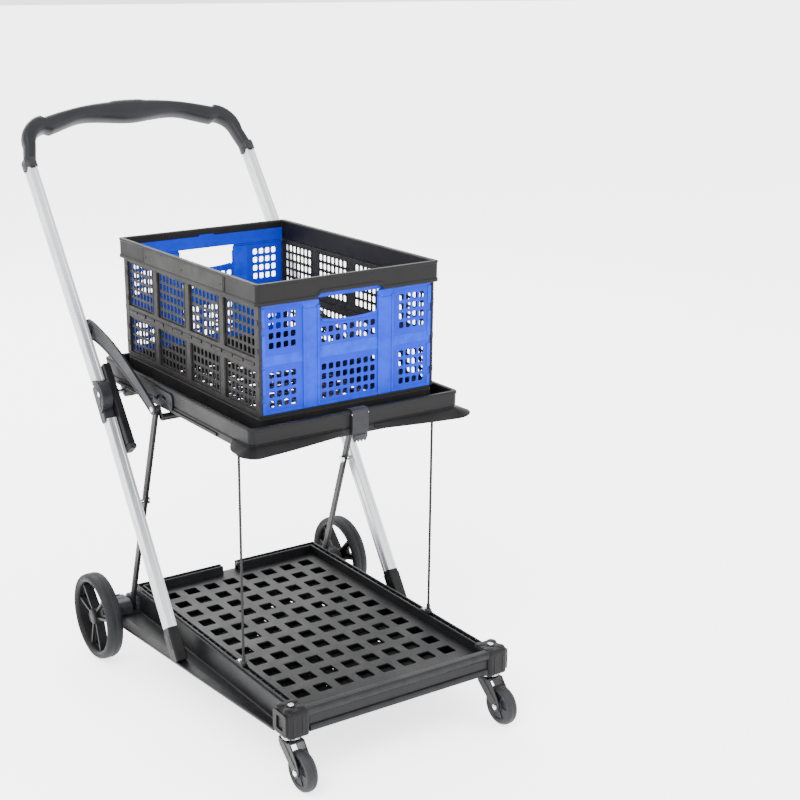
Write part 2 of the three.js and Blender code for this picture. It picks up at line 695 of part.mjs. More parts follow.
// ---- ropes ----
const clipTop = baseTop + 9;
const ropeClip = join(
  box(ropeX - 7, ropeX + 7, ropeY - 8, ropeY + 20, baseTop + gap, baseTop + 3),
  box(ropeX - 5, ropeX + 5, ropeY - 5, ropeY + 5, baseTop + 2, clipTop),
  roundZ(ropeX, ropeY + 13, baseTop + 2, baseTop + 5, 4, 12),
);
addPair("rope_clip", ropeClip, blackSteel);
const ropePath = new THREE.LineCurve3(
  new THREE.Vector3(ropeX, ropeY, clipTop + gap),
  new THREE.Vector3(ropeX, ropeY, trayBottom - gap),
);
const ropeShape = new THREE.Shape().absarc(0, 0, ropeRadius, 0, 2 * Math.PI);
const rope = new THREE.ExtrudeGeometry(ropeShape, {
  steps: 1, bevelEnabled: false, extrudePath: ropePath, curveSegments: 4,
});
addPair("rope", solid(rope), cord);

// ---- centre the cart over the origin, standing on the floor ----
const extent = new THREE.Box3().setFromObject(cart, true);
cart.position.y = -(extent.min.y + extent.max.y) / 2;
cart.position.z = -extent.min.z;

const model = new THREE.Group();
model.add(cart);
export default model;
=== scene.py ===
import json
import math
import bmesh
import bpy
from mathutils import Matrix, Vector
from mathutils.geometry import tessellate_polygon


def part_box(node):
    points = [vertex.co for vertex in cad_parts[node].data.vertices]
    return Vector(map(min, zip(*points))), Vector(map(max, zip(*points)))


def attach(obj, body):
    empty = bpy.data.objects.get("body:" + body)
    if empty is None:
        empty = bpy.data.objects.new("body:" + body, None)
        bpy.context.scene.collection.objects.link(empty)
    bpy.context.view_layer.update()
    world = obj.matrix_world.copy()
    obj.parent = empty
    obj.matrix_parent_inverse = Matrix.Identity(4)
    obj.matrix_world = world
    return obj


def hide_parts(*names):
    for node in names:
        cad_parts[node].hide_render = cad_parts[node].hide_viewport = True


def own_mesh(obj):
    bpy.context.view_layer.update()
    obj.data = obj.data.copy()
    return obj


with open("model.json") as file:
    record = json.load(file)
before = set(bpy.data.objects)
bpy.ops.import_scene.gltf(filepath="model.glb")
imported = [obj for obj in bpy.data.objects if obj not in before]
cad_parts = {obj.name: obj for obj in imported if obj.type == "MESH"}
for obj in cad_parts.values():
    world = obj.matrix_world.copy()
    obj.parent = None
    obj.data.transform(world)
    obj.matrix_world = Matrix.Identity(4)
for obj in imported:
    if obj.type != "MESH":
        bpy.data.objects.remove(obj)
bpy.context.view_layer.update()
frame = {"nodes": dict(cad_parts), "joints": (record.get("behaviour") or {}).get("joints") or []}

print("frame loaded:", len(frame["nodes"]), "nodes")

# Shapes below are written in millimetres from the rear axle (y) and the floor (z).
tyreLow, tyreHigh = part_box("rear_tyre_right")
axleY = (tyreLow.y + tyreHigh.y) / 2


def point(x, y, z):
    return Vector((x / 1000, axleY + y / 1000, z / 1000))


# ---- camera ----
cameraSizes = {
    "target": (0.0, -0.175, 0.5),
    "distance": 2.7646,
    "azimuth": -0.5527,
    "elevation": 0.3163,
    "roll": -0.0092,
    "lens": 66.08,
    "shiftX": 0.121,
    "shiftY": 0.0516,
}


def makeCamera(size):
    turn, rise = size["azimuth"], size["elevation"]
    back = Vector((math.sin(turn) * math.cos(rise), -math.cos(turn) * math.cos(rise), math.sin(rise)))
    right = Vector((math.cos(turn), math.sin(turn), 0))
    up = back.cross(right)
    cosRoll, sinRoll = math.cos(size["roll"]), math.sin(size["roll"])
    axisX = right * cosRoll + up * sinRoll
    axisY = up * cosRoll - right * sinRoll
    data = bpy.data.cameras.new("camera")
    camera = bpy.data.objects.new("camera", data)
    bpy.context.scene.collection.objects.link(camera)
    place = Matrix((axisX, axisY, back)).transposed().to_4x4()
    place.translation = Vector(size["target"]) + back * size["distance"]
    camera.matrix_world = place
    data.lens = size["lens"]
    data.shift_x = size["shiftX"]
    data.shift_y = size["shiftY"]
    data.clip_start, data.clip_end = 0.05, 50
    bpy.context.scene.camera = camera


makeCamera(cameraSizes)
print("camera placed")


# ---- shader groups ----
def newGroup(name, inputs, outputs):
    tree = bpy.data.node_groups.new(name, "ShaderNodeTree")
    for label, value in inputs:
        kind = "NodeSocketVector" if isinstance(value, tuple) else "NodeSocketFloat"
        tree.interface.new_socket(label, in_out="INPUT", socket_type=kind).default_value = value
    for label in outputs:
        tree.interface.new_socket(label, in_out="OUTPUT", socket_type="NodeSocketFloat")
    return tree, tree.nodes.new("NodeGroupInput"), tree.nodes.new("NodeGroupOutput")


# links holds pairs of an input and the value or output socket that goes in.
def addNode(tree, kind, links=(), **settings):
    node = tree.nodes.new(kind)
    for name, value in settings.items():
        setattr(node, name, value)
    for key, value in links:
        if isinstance(value, bpy.types.NodeSocket):
            tree.links.new(value, node.inputs[key])
        else:
            node.inputs[key].default_value = value
    return node


def makeGrain():
    tree, into, out = newGroup("mouldedGrain", [("Scale", 900.0), ("Patch Scale", 14.0)],
                               ["Height", "Patch"])
    where = addNode(tree, "ShaderNodeTexCoord").outputs["Object"]
    fine = addNode(tree, "ShaderNodeTexNoise", [("Vector", where), ("Scale", into.outputs["Scale"]),
                                                ("Detail", 3.0), ("Roughness", 0.6)])
    patch = addNode(tree, "ShaderNodeTexNoise", [("Vector", where), ("Scale", into.outputs["Patch Scale"]),
                                                 ("Detail", 5.0), ("Roughness", 0.62)])
    spread = addNode(tree, "ShaderNodeMapRange", [("Value", patch.outputs["Fac"]), ("From Min", 0.32),
                                                  ("From Max", 0.68)])
    tree.links.new(fine.outputs["Fac"], out.inputs["Height"])
    tree.links.new(spread.outputs["Result"], out.inputs["Patch"])
    return tree


def makeEdgeWear():
    tree, into, out = newGroup("edgeWear", [("Start", 0.53), ("End", 0.6), ("Breakup Scale", 60.0)],
                               ["Mask"])
    where = addNode(tree, "ShaderNodeTexCoord").outputs["Object"]
    sharp = addNode(tree, "ShaderNodeNewGeometry").outputs["Pointiness"]
    edge = addNode(tree, "ShaderNodeMapRange", [("Value", sharp), ("From Min", into.outputs["Start"]),
                                                ("From Max", into.outputs["End"])])
    noise = addNode(tree, "ShaderNodeTexNoise",
                    [("Vector", where), ("Scale", into.outputs["Breakup Scale"]),
                                                 ("Detail", 4.0)])
    broken = addNode(tree, "ShaderNodeMapRange", [("Value", noise.outputs["Fac"]), ("From Min", 0.35),
                                                  ("From Max", 0.6), ("To Min", 0.25)])
    both = addNode(tree, "ShaderNodeMath", [(0, edge.outputs["Result"]), (1, broken.outputs["Result"])],
                   operation="MULTIPLY")
    tree.links.new(both.outputs[0], out.inputs["Mask"])
    return tree


def makeDust():
    tree, into, out = newGroup("settledDust", [("Scale", 22.0)], ["Mask"])
    where = addNode(tree, "ShaderNodeTexCoord").outputs["Object"]
    normal = addNode(tree, "ShaderNodeNewGeometry").outputs["Normal"]
    up = addNode(tree, "ShaderNodeSeparateXYZ", [(0, normal)]).outputs["Z"]
    facing = addNode(tree, "ShaderNodeMapRange", [("Value", up), ("From Min", 0.45), ("From Max", 0.98)])
    noise = addNode(tree, "ShaderNodeTexNoise", [("Vector", where), ("Scale", into.outputs["Scale"]),
                                                 ("Detail", 6.0), ("Roughness", 0.68)])
    cloud = addNode(tree, "ShaderNodeMapRange", [("Value", noise.outputs["Fac"]), ("From Min", 0.38),
                                                 ("From Max", 0.72)])
    both = addNode(tree, "ShaderNodeMath", [(0, facing.outputs["Result"]), (1, cloud.outputs["Result"])],
                   operation="MULTIPLY")
    tree.links.new(both.outputs[0], out.inputs["Mask"])
    return tree


def makeBrushed():
    tree, into, out = newGroup("drawnMetal", [("Stretch", (900.0, 12.0, 12.0))], ["Streak", "Height"])
    where = addNode(tree, "ShaderNodeTexCoord").outputs["Object"]
    drawn = addNode(tree, "ShaderNodeVectorMath", [(0, where), (1, into.outputs["Stretch"])],
                    operation="MULTIPLY")
    lines = addNode(tree, "ShaderNodeTexNoise", [("Vector", drawn.outputs[0]), ("Scale", 1.0),
                                                 ("Detail", 4.0), ("Roughness", 0.55)])
    spread = addNode(tree, "ShaderNodeMapRange", [("Value", lines.outputs["Fac"]), ("From Min", 0.3),
                                                  ("From Max", 0.7)])
    tree.links.new(spread.outputs["Result"], out.inputs["Streak"])
    tree.links.new(lines.outputs["Fac"], out.inputs["Height"])
    return tree


grainGroup, wearGroup, dustGroup, brushedGroup = makeGrain(), makeEdgeWear(), makeDust(), makeBrushed()


def useGroup(tree, group, **values):
    node = tree.nodes.new("ShaderNodeGroup")
    node.node_tree = group
    for label, value in values.items():
        node.inputs[label.replace("_", " ")].default_value = value
    return node


def mixColour(tree, mask, first, second, strength=1.0):
    if strength != 1.0:
        mask = addNode(tree, "ShaderNodeMath", [(0, mask), (1, strength)], operation="MULTIPLY").outputs[0]
    links = [("Factor", mask), (6, first), (7, second)]
    return addNode(tree, "ShaderNodeMix", links, data_type="RGBA").outputs[2]


def colour(hexText):
    parts = [int(hexText[i:i + 2], 16) / 255 for i in (0, 2, 4)]
    return tuple(c / 12.92 if c <= 0.04045 else ((c + 0.055) / 1.055) ** 2.4 for c in parts) + (1.0,)


def startMaterial(name):
    made = bpy.data.materials.new(name)
    made.use_nodes = True
    return made, made.node_tree, made.node_tree.nodes["Principled BSDF"]


# Moulded plastic or rubber: cloudy tone, fine grain, pale worn edges and a little dust on top faces.
def mouldedMaterial(name, base, second, edge, roughness, grain=900.0, bump=0.12, wear=0.5, dust=0.1,
                    roughSpread=0.14, patch=14.0, specular=0.5):
    made, tree, shader = startMaterial(name)
    surface = useGroup(tree, grainGroup, Scale=grain, Patch_Scale=patch)
    tone = mixColour(tree, surface.outputs["Patch"], colour(base), colour(second))
    worn = useGroup(tree, wearGroup)
    tone = mixColour(tree, worn.outputs["Mask"], tone, colour(edge), wear)
    film = useGroup(tree, dustGroup)
    tone = mixColour(tree, film.outputs["Mask"], tone, colour("8d8a84"), dust)
    tree.links.new(tone, shader.inputs["Base Color"])
    rough = addNode(tree, "ShaderNodeMath",
                    [(0, surface.outputs["Patch"]), (1, roughSpread), (2, roughness)],
                    operation="MULTIPLY_ADD")
    tree.links.new(rough.outputs[0], shader.inputs["Roughness"])
    relief = addNode(tree, "ShaderNodeBump", [("Strength", bump), ("Distance", 0.0006),
                                              ("Height", surface.outputs["Height"])])
    tree.links.new(relief.outputs["Normal"], shader.inputs["Normal"])
    shader.inputs["Specular IOR Level"].default_value = specular
    return made


def metalMaterial(name, base, second, roughness, stretch, roughSpread=0.12, bump=0.08, wear=0.0,
                  metallic=1.0):
    made, tree, shader = startMaterial(name)
    lines = useGroup(tree, brushedGroup, Stretch=stretch)
    tone = mixColour(tree, lines.outputs["Streak"], colour(base), colour(second))
    if wear:
        worn = useGroup(tree, wearGroup)
        tone = mixColour(tree, worn.outputs["Mask"], tone, colour("8f8f90"), wear)
    tree.links.new(tone, shader.inputs["Base Color"])
    rough = addNode(tree, "ShaderNodeMath",
                    [(0, lines.outputs["Streak"]), (1, roughSpread), (2, roughness)],
                    operation="MULTIPLY_ADD")
    tree.links.new(rough.outputs[0], shader.inputs["Roughness"])
    relief = addNode(tree, "ShaderNodeBump", [("Strength", bump), ("Distance", 0.0004),
                                              ("Height", lines.outputs["Height"])])
    tree.links.new(relief.outputs["Normal"], shader.inputs["Normal"])
    shader.inputs["Metallic"].default_value = metallic
    return made


deckPlastic = mouldedMaterial("deckPlastic", "070709", "0d0e10", "303134", 0.36, grain=1100.0, bump=0.14,
                              wear=0.25, dust=0.015, specular=0.16)
blackPlastic = mouldedMaterial("blackPlastic", "080809", "0e0e10", "2e2f31", 0.4, wear=0.3, dust=0.01,
                               specular=0.13)
cratePlastic = mouldedMaterial("cratePlastic", "0b0a0b", "121112", "3a3835", 0.44, wear=0.35, dust=0.015,
                               specular=0.13)
bluePlastic = mouldedMaterial("bluePlastic", "001f98", "0026ac", "1650dc", 0.46, wear=0.3, dust=0.0,
                              roughSpread=0.1, specular=0.1)
greyPlastic = mouldedMaterial("greyPlastic", "121217", "19191e", "46474a", 0.42, wear=0.35, dust=0.015,
                              specular=0.18)
gripPlastic = mouldedMaterial("gripPlastic", "0b0c0e", "121316", "3a3b3f", 0.38, grain=1400.0, bump=0.2,
                              wear=0.25, dust=0.01, specular=0.2)
tyreRubber = mouldedMaterial("tyreRubber", "121315", "1a1b1d", "38393b", 0.55, grain=700.0, bump=0.25,
                             wear=0.2,
                             dust=0.04, patch=26.0, specular=0.15)
casterRubber = mouldedMaterial("casterRubber", "17181a", "1f2022", "434446", 0.5, grain=800.0, bump=0.2,
                               wear=0.2, dust=0.03, specular=0.2)
drawnAluminium = metalMaterial("drawnAluminium", "c2c4c6", "b0b2b5", 0.42, (900.0, 14.0, 14.0))
blackSteel = mouldedMaterial("blackSteel", "070708", "0d0d0f", "3c3d3f", 0.34, grain=1600.0, bump=0.06,
                             wear=0.3,
                             dust=0.01, specular=0.25)
brightSteel = metalMaterial("brightSteel", "dedfe1", "c6c8ca", 0.16, (200.0, 200.0, 200.0), bump=0.04)


def makeCordMaterial():
    made, tree, shader = startMaterial("twistedCord")
    where = addNode(tree, "ShaderNodeTexCoord").outputs["Object"]
    drawn = addNode(tree, "ShaderNodeVectorMath", [(0, where), (1, (900.0, 900.0, 420.0))],
                    operation="MULTIPLY")
    strands = addNode(tree, "ShaderNodeTexWave", [("Vector", drawn.outputs[0]), ("Scale", 1.0),
                                                  ("Distortion", 1.2), ("Detail", 1.0)],
                      bands_direction="DIAGONAL")
    tone = mixColour(tree, strands.outputs["Fac"], colour("09090a"), colour("18181a"))
    tree.links.new(tone, shader.inputs["Base Color"])
    relief = addNode(tree, "ShaderNodeBump", [("Strength", 0.7), ("Distance", 0.0008),
                                              ("Height", strands.outputs["Fac"])])
    tree.links.new(relief.outputs["Normal"], shader.inputs["Normal"])
    shader.inputs["Roughness"].default_value = 0.85
    return made


twistedCord = makeCordMaterial()
print("materials made")


# ---- mesh making ----
# u, v and depth of a flat shape: "x" is drawn as (y, z), "y" as (x, z) and "z" as (x, y).
placers = {
    "x": lambda u, v, d: (d, u, v),
    "y": lambda u, v, d: (u, d, v),
    "z": lambda u, v, d: (u, v, d),
}


def loopWalls(mesh, first, second):
    for i in range(len(first)):
        j = (i + 1) % len(first)
        mesh.faces.new((first[i], first[j], second[j], second[i]))


def prism(mesh, axis, outline, low, high):
    at = placers[axis]
    bottom = [mesh.verts.new(at(u, v, low)) for u, v in outline]
    top = [mesh.verts.new(at(u, v, high)) for u, v in outline]
    mesh.faces.new(bottom)
    mesh.faces.new(top)
    loopWalls(mesh, bottom, top)


def block(mesh, x0, x1, y0, y1, z0, z1):
    prism(mesh, "z", [(x0, y0), (x1, y0), (x1, y1), (x0, y1)], z0, z1)


# A flat plate with holes of any outline.
def plateWithHoles(mesh, axis, outer, holes, low, high):
    at = placers[axis]
    loops = [outer] + holes
    triangles = tessellate_polygon([[Vector((u, v, 0)) for u, v in loop] for loop in loops])
    bottom = [mesh.verts.new(at(u, v, low)) for loop in loops for u, v in loop]
    top = [mesh.verts.new(at(u, v, high)) for loop in loops for u, v in loop]
    for corners in triangles:
        mesh.faces.new([bottom[i] for i in corners])
        mesh.faces.new([top[i] for i in corners])
    start = 0
    for loop in loops:
        loopWalls(mesh, bottom[start:start + len(loop)], top[start:start + len(loop)])
        start += len(loop)


def roundedOutline(u0, u1, v0, v1, radius, steps=4):
    points = []
    corners = [(u1, v1, 0), (u0, v1, 1), (u0, v0, 2), (u1, v0, 3)]
    for u, v, quarter in corners:
        cu = u - radius if u == u1 else u + radius
        cv = v - radius if v == v1 else v + radius
        for k in range(steps + 1):
            angle = (quarter + k / steps) * math.pi / 2
            points.append((cu + radius * math.cos(angle), cv + radius * math.sin(angle)))
    return points


def arcPoints(cu, cv, radius, start, end, steps):
    angles = [start + (end - start) * k / steps for k in range(steps + 1)]
    return [(cu + radius * math.cos(a), cv + radius * math.sin(a)) for a in angles]


# A sheet over the grid of linesU and linesV. holes holds (column, row): (half width, half height).
def perforated(mesh, axis, linesU, linesV, holes, low, high, corner=2.0, lip=0.5, steps=2):
    at = placers[axis]
    grid = {}
    for i, u in enumerate(linesU):
        for j, v in enumerate(linesV):
            grid[i, j] = (mesh.verts.new(at(u, v, low)), mesh.verts.new(at(u, v, high)))
    for i in range(len(linesU) - 1):
        for j in range(len(linesV) - 1):
            ring = [(i + 1, j + 1), (i, j + 1), (i, j), (i + 1, j)]
            if (i, j) not in holes:
                for face in (0, 1):
                    mesh.faces.new([grid[key][face] for key in ring])
                continue
            halfU, halfV = holes[i, j][:2]
            cu, cv = (linesU[i] + linesU[i + 1]) / 2, (linesV[j] + linesV[j + 1]) / 2
            wide = roundedOutline(cu - halfU - lip, cu + halfU + lip, cv - halfV - lip, cv + halfV + lip,
                                  corner + lip, steps)
            tight = roundedOutline(cu - halfU, cu + halfU, cv - halfV, cv + halfV, corner, steps)
            loops = []
            for outline, depth in ((wide, low), (tight, low + lip * 0.8), (tight, high - lip * 0.8),
                                   (wide, high)):
                loops.append([mesh.verts.new(at(u, v, depth)) for u, v in outline])
            for a, b in zip(loops, loops[1:]):
                loopWalls(mesh, a, b)
            for face, loop in ((0, loops[0]), (1, loops[-1])):
                for q in range(4):
                    start = q * (steps + 1)
                    for k in range(steps):
                        mesh.faces.new((grid[ring[q]][face], loop[start + k], loop[start + k + 1]))
                    following = (start + steps + 1) % len(loop)
                    mesh.faces.new((grid[ring[q]][face], loop[start + steps], loop[following],
                                    grid[ring[(q + 1) % 4]][face]))
    lastU, lastV = len(linesU) - 1, len(linesV) - 1
    border = [(i, 0) for i in range(lastU)] + [(lastU, j) for j in range(lastV)]
    border += [(i, lastV) for i in range(lastU, 0, -1)] + [(0, j) for j in range(lastV, 0, -1)]
    loopWalls(mesh, [grid[key][0] for key in border], [grid[key][1] for key in border])


# Grid lines that put count holes of one pitch in a field, with margins as wide as is left.
def fieldLines(start, end, count, pitch):
    first = (start + end) / 2 - count * pitch / 2
    return [start] + [first + k * pitch for k in range(count + 1)] + [end]


def holeField(mesh, axis, u0, u1, v0, v1, columns, rows, pitchU, pitchV, halfU, halfV, low, high,
              corner=2.5,
              skip=()):
    linesU, linesV = fieldLines(u0, u1, columns, pitchU), fieldLines(v0, v1, rows, pitchV)
    holes = {(i + 1, j + 1): (halfU, halfV) for i in range(columns) for j in range(rows) if (i,
                                                                                             j) not in skip}
    perforated(mesh, axis, linesU, linesV, holes, low, high, corner)


# Rounded rectangles in plan, one for each (inset, z) of a profile, joined into a ring.
# breaks adds points on the two ends at those x, and lift(x, y, z) moves points up.
def ringWall(mesh, rect, radius, profile, steps=4, breaks=(), lift=None, closed=True):
    x0, x1, y0, y1 = rect
    loops = []
    for inset, z in profile:
        r = max(radius - inset, 0.8)
        outline = roundedOutline(x0 + inset, x1 - inset, y0 + inset, y1 - inset, r, steps)
        if breaks:
            half = len(outline) // 2
            rear = [(x, y1 - inset) for x in sorted(breaks, reverse=True)]
            front = [(x, y0 + inset) for x in sorted(breaks)]
            quarter = steps + 1
            outline = (outline[:quarter] + rear + outline[quarter:half + quarter] + front
                       + outline[half + quarter:])
        loops.append([mesh.verts.new((x, y, z + (lift(x, y, z) if lift else 0))) for x, y in outline])
    if closed:
        loops.append(loops[0])
    for a, b in zip(loops, loops[1:]):
        loopWalls(mesh, a, b)
    if not closed:
        mesh.faces.new(loops[0])
        mesh.faces.new(loops[-1])


# A turned shape of (radius, along) points about an axis through centre.
def turned(mesh, axis, centre, profile, segments=32, closed=False):
    rings = []
    for radius, along in profile:
        if radius < 1e-6:
            shift = {"x": (along, 0, 0), "y": (0, along, 0), "z": (0, 0, along)}[axis]
            rings.append([mesh.verts.new([c + s for c, s in zip(centre, shift)])])
            continue
        ring = []
        for k in range(segments):
            a = 2 * math.pi * k / segments
            c, s = radius * math.cos(a), radius * math.sin(a)
            shift = {"x": (along, c, s), "y": (c, along, s), "z": (c, s, along)}[axis]
            ring.append(mesh.verts.new([p + q for p, q in zip(centre, shift)]))
        rings.append(ring)
    if closed:
        rings.append(rings[0])
    for a, b in zip(rings, rings[1:]):
        if len(a) == 1 and len(b) == 1:
            continue
        if len(a) == 1 or len(b) == 1:
            tip, ring = (a[0], b) if len(a) == 1 else (b[0], a)
            for k in range(segments):
                mesh.faces.new((tip, ring[k], ring[(k + 1) % segments]))
        else:
            loopWalls(mesh, a, b)
    if not closed:
        for ring in (rings[0], rings[-1]):
            if len(ring) > 1:
                mesh.faces.new(ring)


# Each station is (origin, first axis, second axis, section of (a, b) points).
def loft(mesh, stations):
    loops = []
    for origin, axisA, axisB, section in stations:
        loops.append([mesh.verts.new(Vector(origin) + Vector(axisA) * a + Vector(axisB) * b) for a,
                      b in section])
    for a, b in zip(loops, loops[1:]):
        loopWalls(mesh, a, b)
    mesh.faces.new(loops[0])
    mesh.faces.new(loops[-1])


# A round rod through points, with the same section turned along it.
def rod(mesh, points, radius, segments=12):
    points = [Vector(p) for p in points]
    section = [(radius * math.cos(2 * math.pi * k / segments),
                radius * math.sin(2 * math.pi * k / segments))
               for k in range(segments)]
    way = (points[1] - points[0]).normalized()
    sideAxis = way.orthogonal().normalized()
    stations = []
    for i, p in enumerate(points):
        ahead = (points[min(i + 1, len(points) - 1)] - points[max(i - 1, 0)]).normalized()
        sideAxis = (sideAxis - ahead * sideAxis.dot(ahead)).normalized()
        stations.append((p, sideAxis, ahead.cross(sideAxis), section))
    loft(mesh, stations)


# A flat bar with round ends between two points of the side view.
def flatLink(mesh, p, q, deep, x0, x1, steps=8):
    angle = math.atan2(q[1] - p[1], q[0] - p[0])
    outline = arcPoints(q[0], q[1], deep / 2, angle - math.pi / 2, angle + math.pi / 2, steps)
    outline += arcPoints(p[0], p[1], deep / 2, angle + math.pi / 2, angle + 1.5 * math.pi, steps)
    prism(mesh, "x", outline, x0, x1)


# Turns a millimetre mesh into a finished piece on its body.
def finishPiece(name, mesh, body, material, nodes=(), bevel=0.5, mirror=False, segments=2, angle=38,
                smooth=42):
    bmesh.ops.recalc_face_normals(mesh, faces=mesh.faces)
    for vertex in mesh.verts:
        x, y, z = vertex.co
        vertex.co = point(-x if mirror else x, y, z)
    if mirror:
        bmesh.ops.reverse_faces(mesh, faces=mesh.faces)
    data = bpy.data.meshes.new(name)
    mesh.to_mesh(data)
    mesh.free()
    data.shade_smooth()
    data.set_sharp_from_angle(angle=math.radians(smooth if not bevel else 75))
    piece = bpy.data.objects.new(name, data)
    bpy.context.scene.collection.objects.link(piece)
    data.materials.append(material)
    if bevel:
        softened = piece.modifiers.new("edges", "BEVEL")
        softened.width = bevel / 1000
        softened.segments = segments
        softened.limit_method = "ANGLE"
        softened.angle_limit = math.radians(angle)
        softened.use_clamp_overlap = True
        shading = piece.modifiers.new("shading", "WEIGHTED_NORMAL")
        shading.keep_sharp = True
    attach(piece, body)
    if nodes:
        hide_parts(*nodes)
    return piece


# Builds a piece for both sides: make(mesh) draws the right one.
def finishPair(name, make, body, material, node=None, paired=False, **options):
    for side, flipped in (("right", False), ("left", True)):
        mesh = bmesh.new()
        make(mesh)
        rides = body + "_" + side if paired else body
        nodes = [node + "_" + side] if node else []
        finishPiece(name + "_" + side, mesh, rides, material, nodes, mirror=flipped, **options)


# A CAD node's lowest and highest corners, and a joint's place in the side view, in millimetres as above.
def span(node):
    return [Vector((v.x * 1000, (v.y - axleY) * 1000, v.z * 1000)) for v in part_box(node)]


def jointAt(name):
    joint = next(j for j in frame["joints"] if j["name"] == name)
    return (joint["pos_m"][1] - axleY) * 1000, joint["pos_m"][2] * 1000


baseLow, baseHigh = span("base_platform")
trayLow, trayHigh = span("tray")
crateLow, crateHigh = span("crate_rim")
endLow, endHigh = span("crate_end_front")
rearEndLow, rearEndHigh = span("crate_end_rear")
sideLow, sideHigh = span("crate_side_right")
curbLow, curbHigh = span("crate_base")

# ---- crate ----
rimSizes = {"radius": 9, "thick": 11, "ridge": 6, "proud": 1.6, "stepUp": 9, "stepHalf": 62, "slope": 9}


def crateRim(size):
    mesh = bmesh.new()
    rect = (crateLow.x, crateHigh.x, crateLow.y, crateHigh.y)
    top, low, proud = crateHigh.z, crateLow.z, size["proud"]
    half, slope = size["stepHalf"], size["slope"]

    # the lower edge steps up over the hand holes
    def lift(x, y, z):
        if z > low + 14 or (crateLow.y + 20 < y < crateHigh.y - 20):
            return 0
        share = min(max((half + slope - abs(x)) / slope, 0), 1)
        return size["stepUp"] * share

    ridge = low + size["ridge"]
    profile = [(1.0, top), (0.2, top - 0.8), (0.2, top - 3.5), (proud, top - 4.6), (proud, ridge + 1.2),
               (0.2, ridge),
               (0, low + 0.8), (0.8, low), (size["thick"] - 1, low), (size["thick"], low + 1.5),
               (size["thick"], top - 3), (size["thick"] - 1.5, top - 0.6), (size["thick"] - 2.5, top)]
    ringWall(mesh, rect, size["radius"], profile, steps=5,
             breaks=(-half - slope, -half, half, half + slope), lift=lift)
    length = crateHigh.y - crateLow.y
    for s in (-1, 1):
        face = s * (crateHigh.x - proud)
        out = face + s * 1.2
        y0, y1 = crateLow.y + 0.215 * length, crateLow.y + 0.79 * length
        block(mesh, min(face - s, out), max(face - s, out), y0, y1, ridge + 0.6, top - 4.0)
        for y in (y0 + 9, (y0 + y1) / 2, y1 - 9):
            turned(mesh, "x", (face, y, top - 20),
                   [(0, s * 2.0), (1.5, s * 1.9), (2.1, s * 1.2), (2.1, 0)], 12)
        for y in (y0 - 3, y1 + 3):
            block(mesh, min(face - s, out), max(face - s, out), y - 1.3, y + 1.3, low + 1, top - 1.2)
    # stiffening ribs behind the band
    for k in range(1, 12):
        y = crateLow.y + length * k / 12
        for s in (-1, 1):
            x = s * (crateHigh.x - size["thick"])
            block(mesh, min(x, x + s * 2), max(x, x + s * 2), y - 1, y + 1, low + 2, low + 14)
    return finishPiece("crateRim", mesh, "crate", cratePlastic, ["crate_rim"], bevel=0.45)


crateRim(rimSizes)

baseSizes = {"radius": 7, "floor": 4, "columns": 14, "rows": 20}


def crateBase(size):
    mesh = bmesh.new()
    rect = (curbLow.x, curbHigh.x, curbLow.y, curbHigh.y)
    z0, z1 = curbLow.z, curbHigh.z
    profile = [(1.4, z0), (0, z0 + 2), (0, z1 - 7), (1.2, z1 - 6), (1.2, z1 - 2), (2, z1), (6.4, z1),
               (7.6, z1 - 1.5),
               (7.6, z0 + 4.2), (7.6, z0 + 1)]
    ringWall(mesh, rect, size["radius"], profile, steps=4)
    inset = 7.4
    holeField(mesh, "z", rect[0] + inset, rect[1] - inset, rect[2] + inset, rect[3] - inset,
              size["columns"],
              size["rows"], 22.5, 24.5, 8.6, 9.6, z0 + 0.6, z0 + size["floor"], corner=2.5)
    count = 16
    for k in range(count + 1):
        y = rect[2] + 10 + (rect[3] - rect[2] - 20) * k / count
        for s in (-1, 1):
            x = s * (curbHigh.x - 7.6)
            block(mesh, min(x, x - s * 5), max(x, x - s * 5), y - 1.1, y + 1.1, z0 + 3, z1 - 4)
    return finishPiece("crateBase", mesh, "crate", cratePlastic, ["crate_base"], bevel=0.4)


crateBase(baseSizes)

sideSizes = {"columns": 4, "post": 15, "rib": 24, "railTop": 6, "railMiddle": 11, "recess": 3.2,
             "sheet": 1.8,
             "holesAcross": 7, "holesUp": (4, 5), "pitchAcross": 14.5, "pitchUp": 17.0, "halfAcross": 4.5,
             "halfUp": 6.0,
             "foldRise": 89}


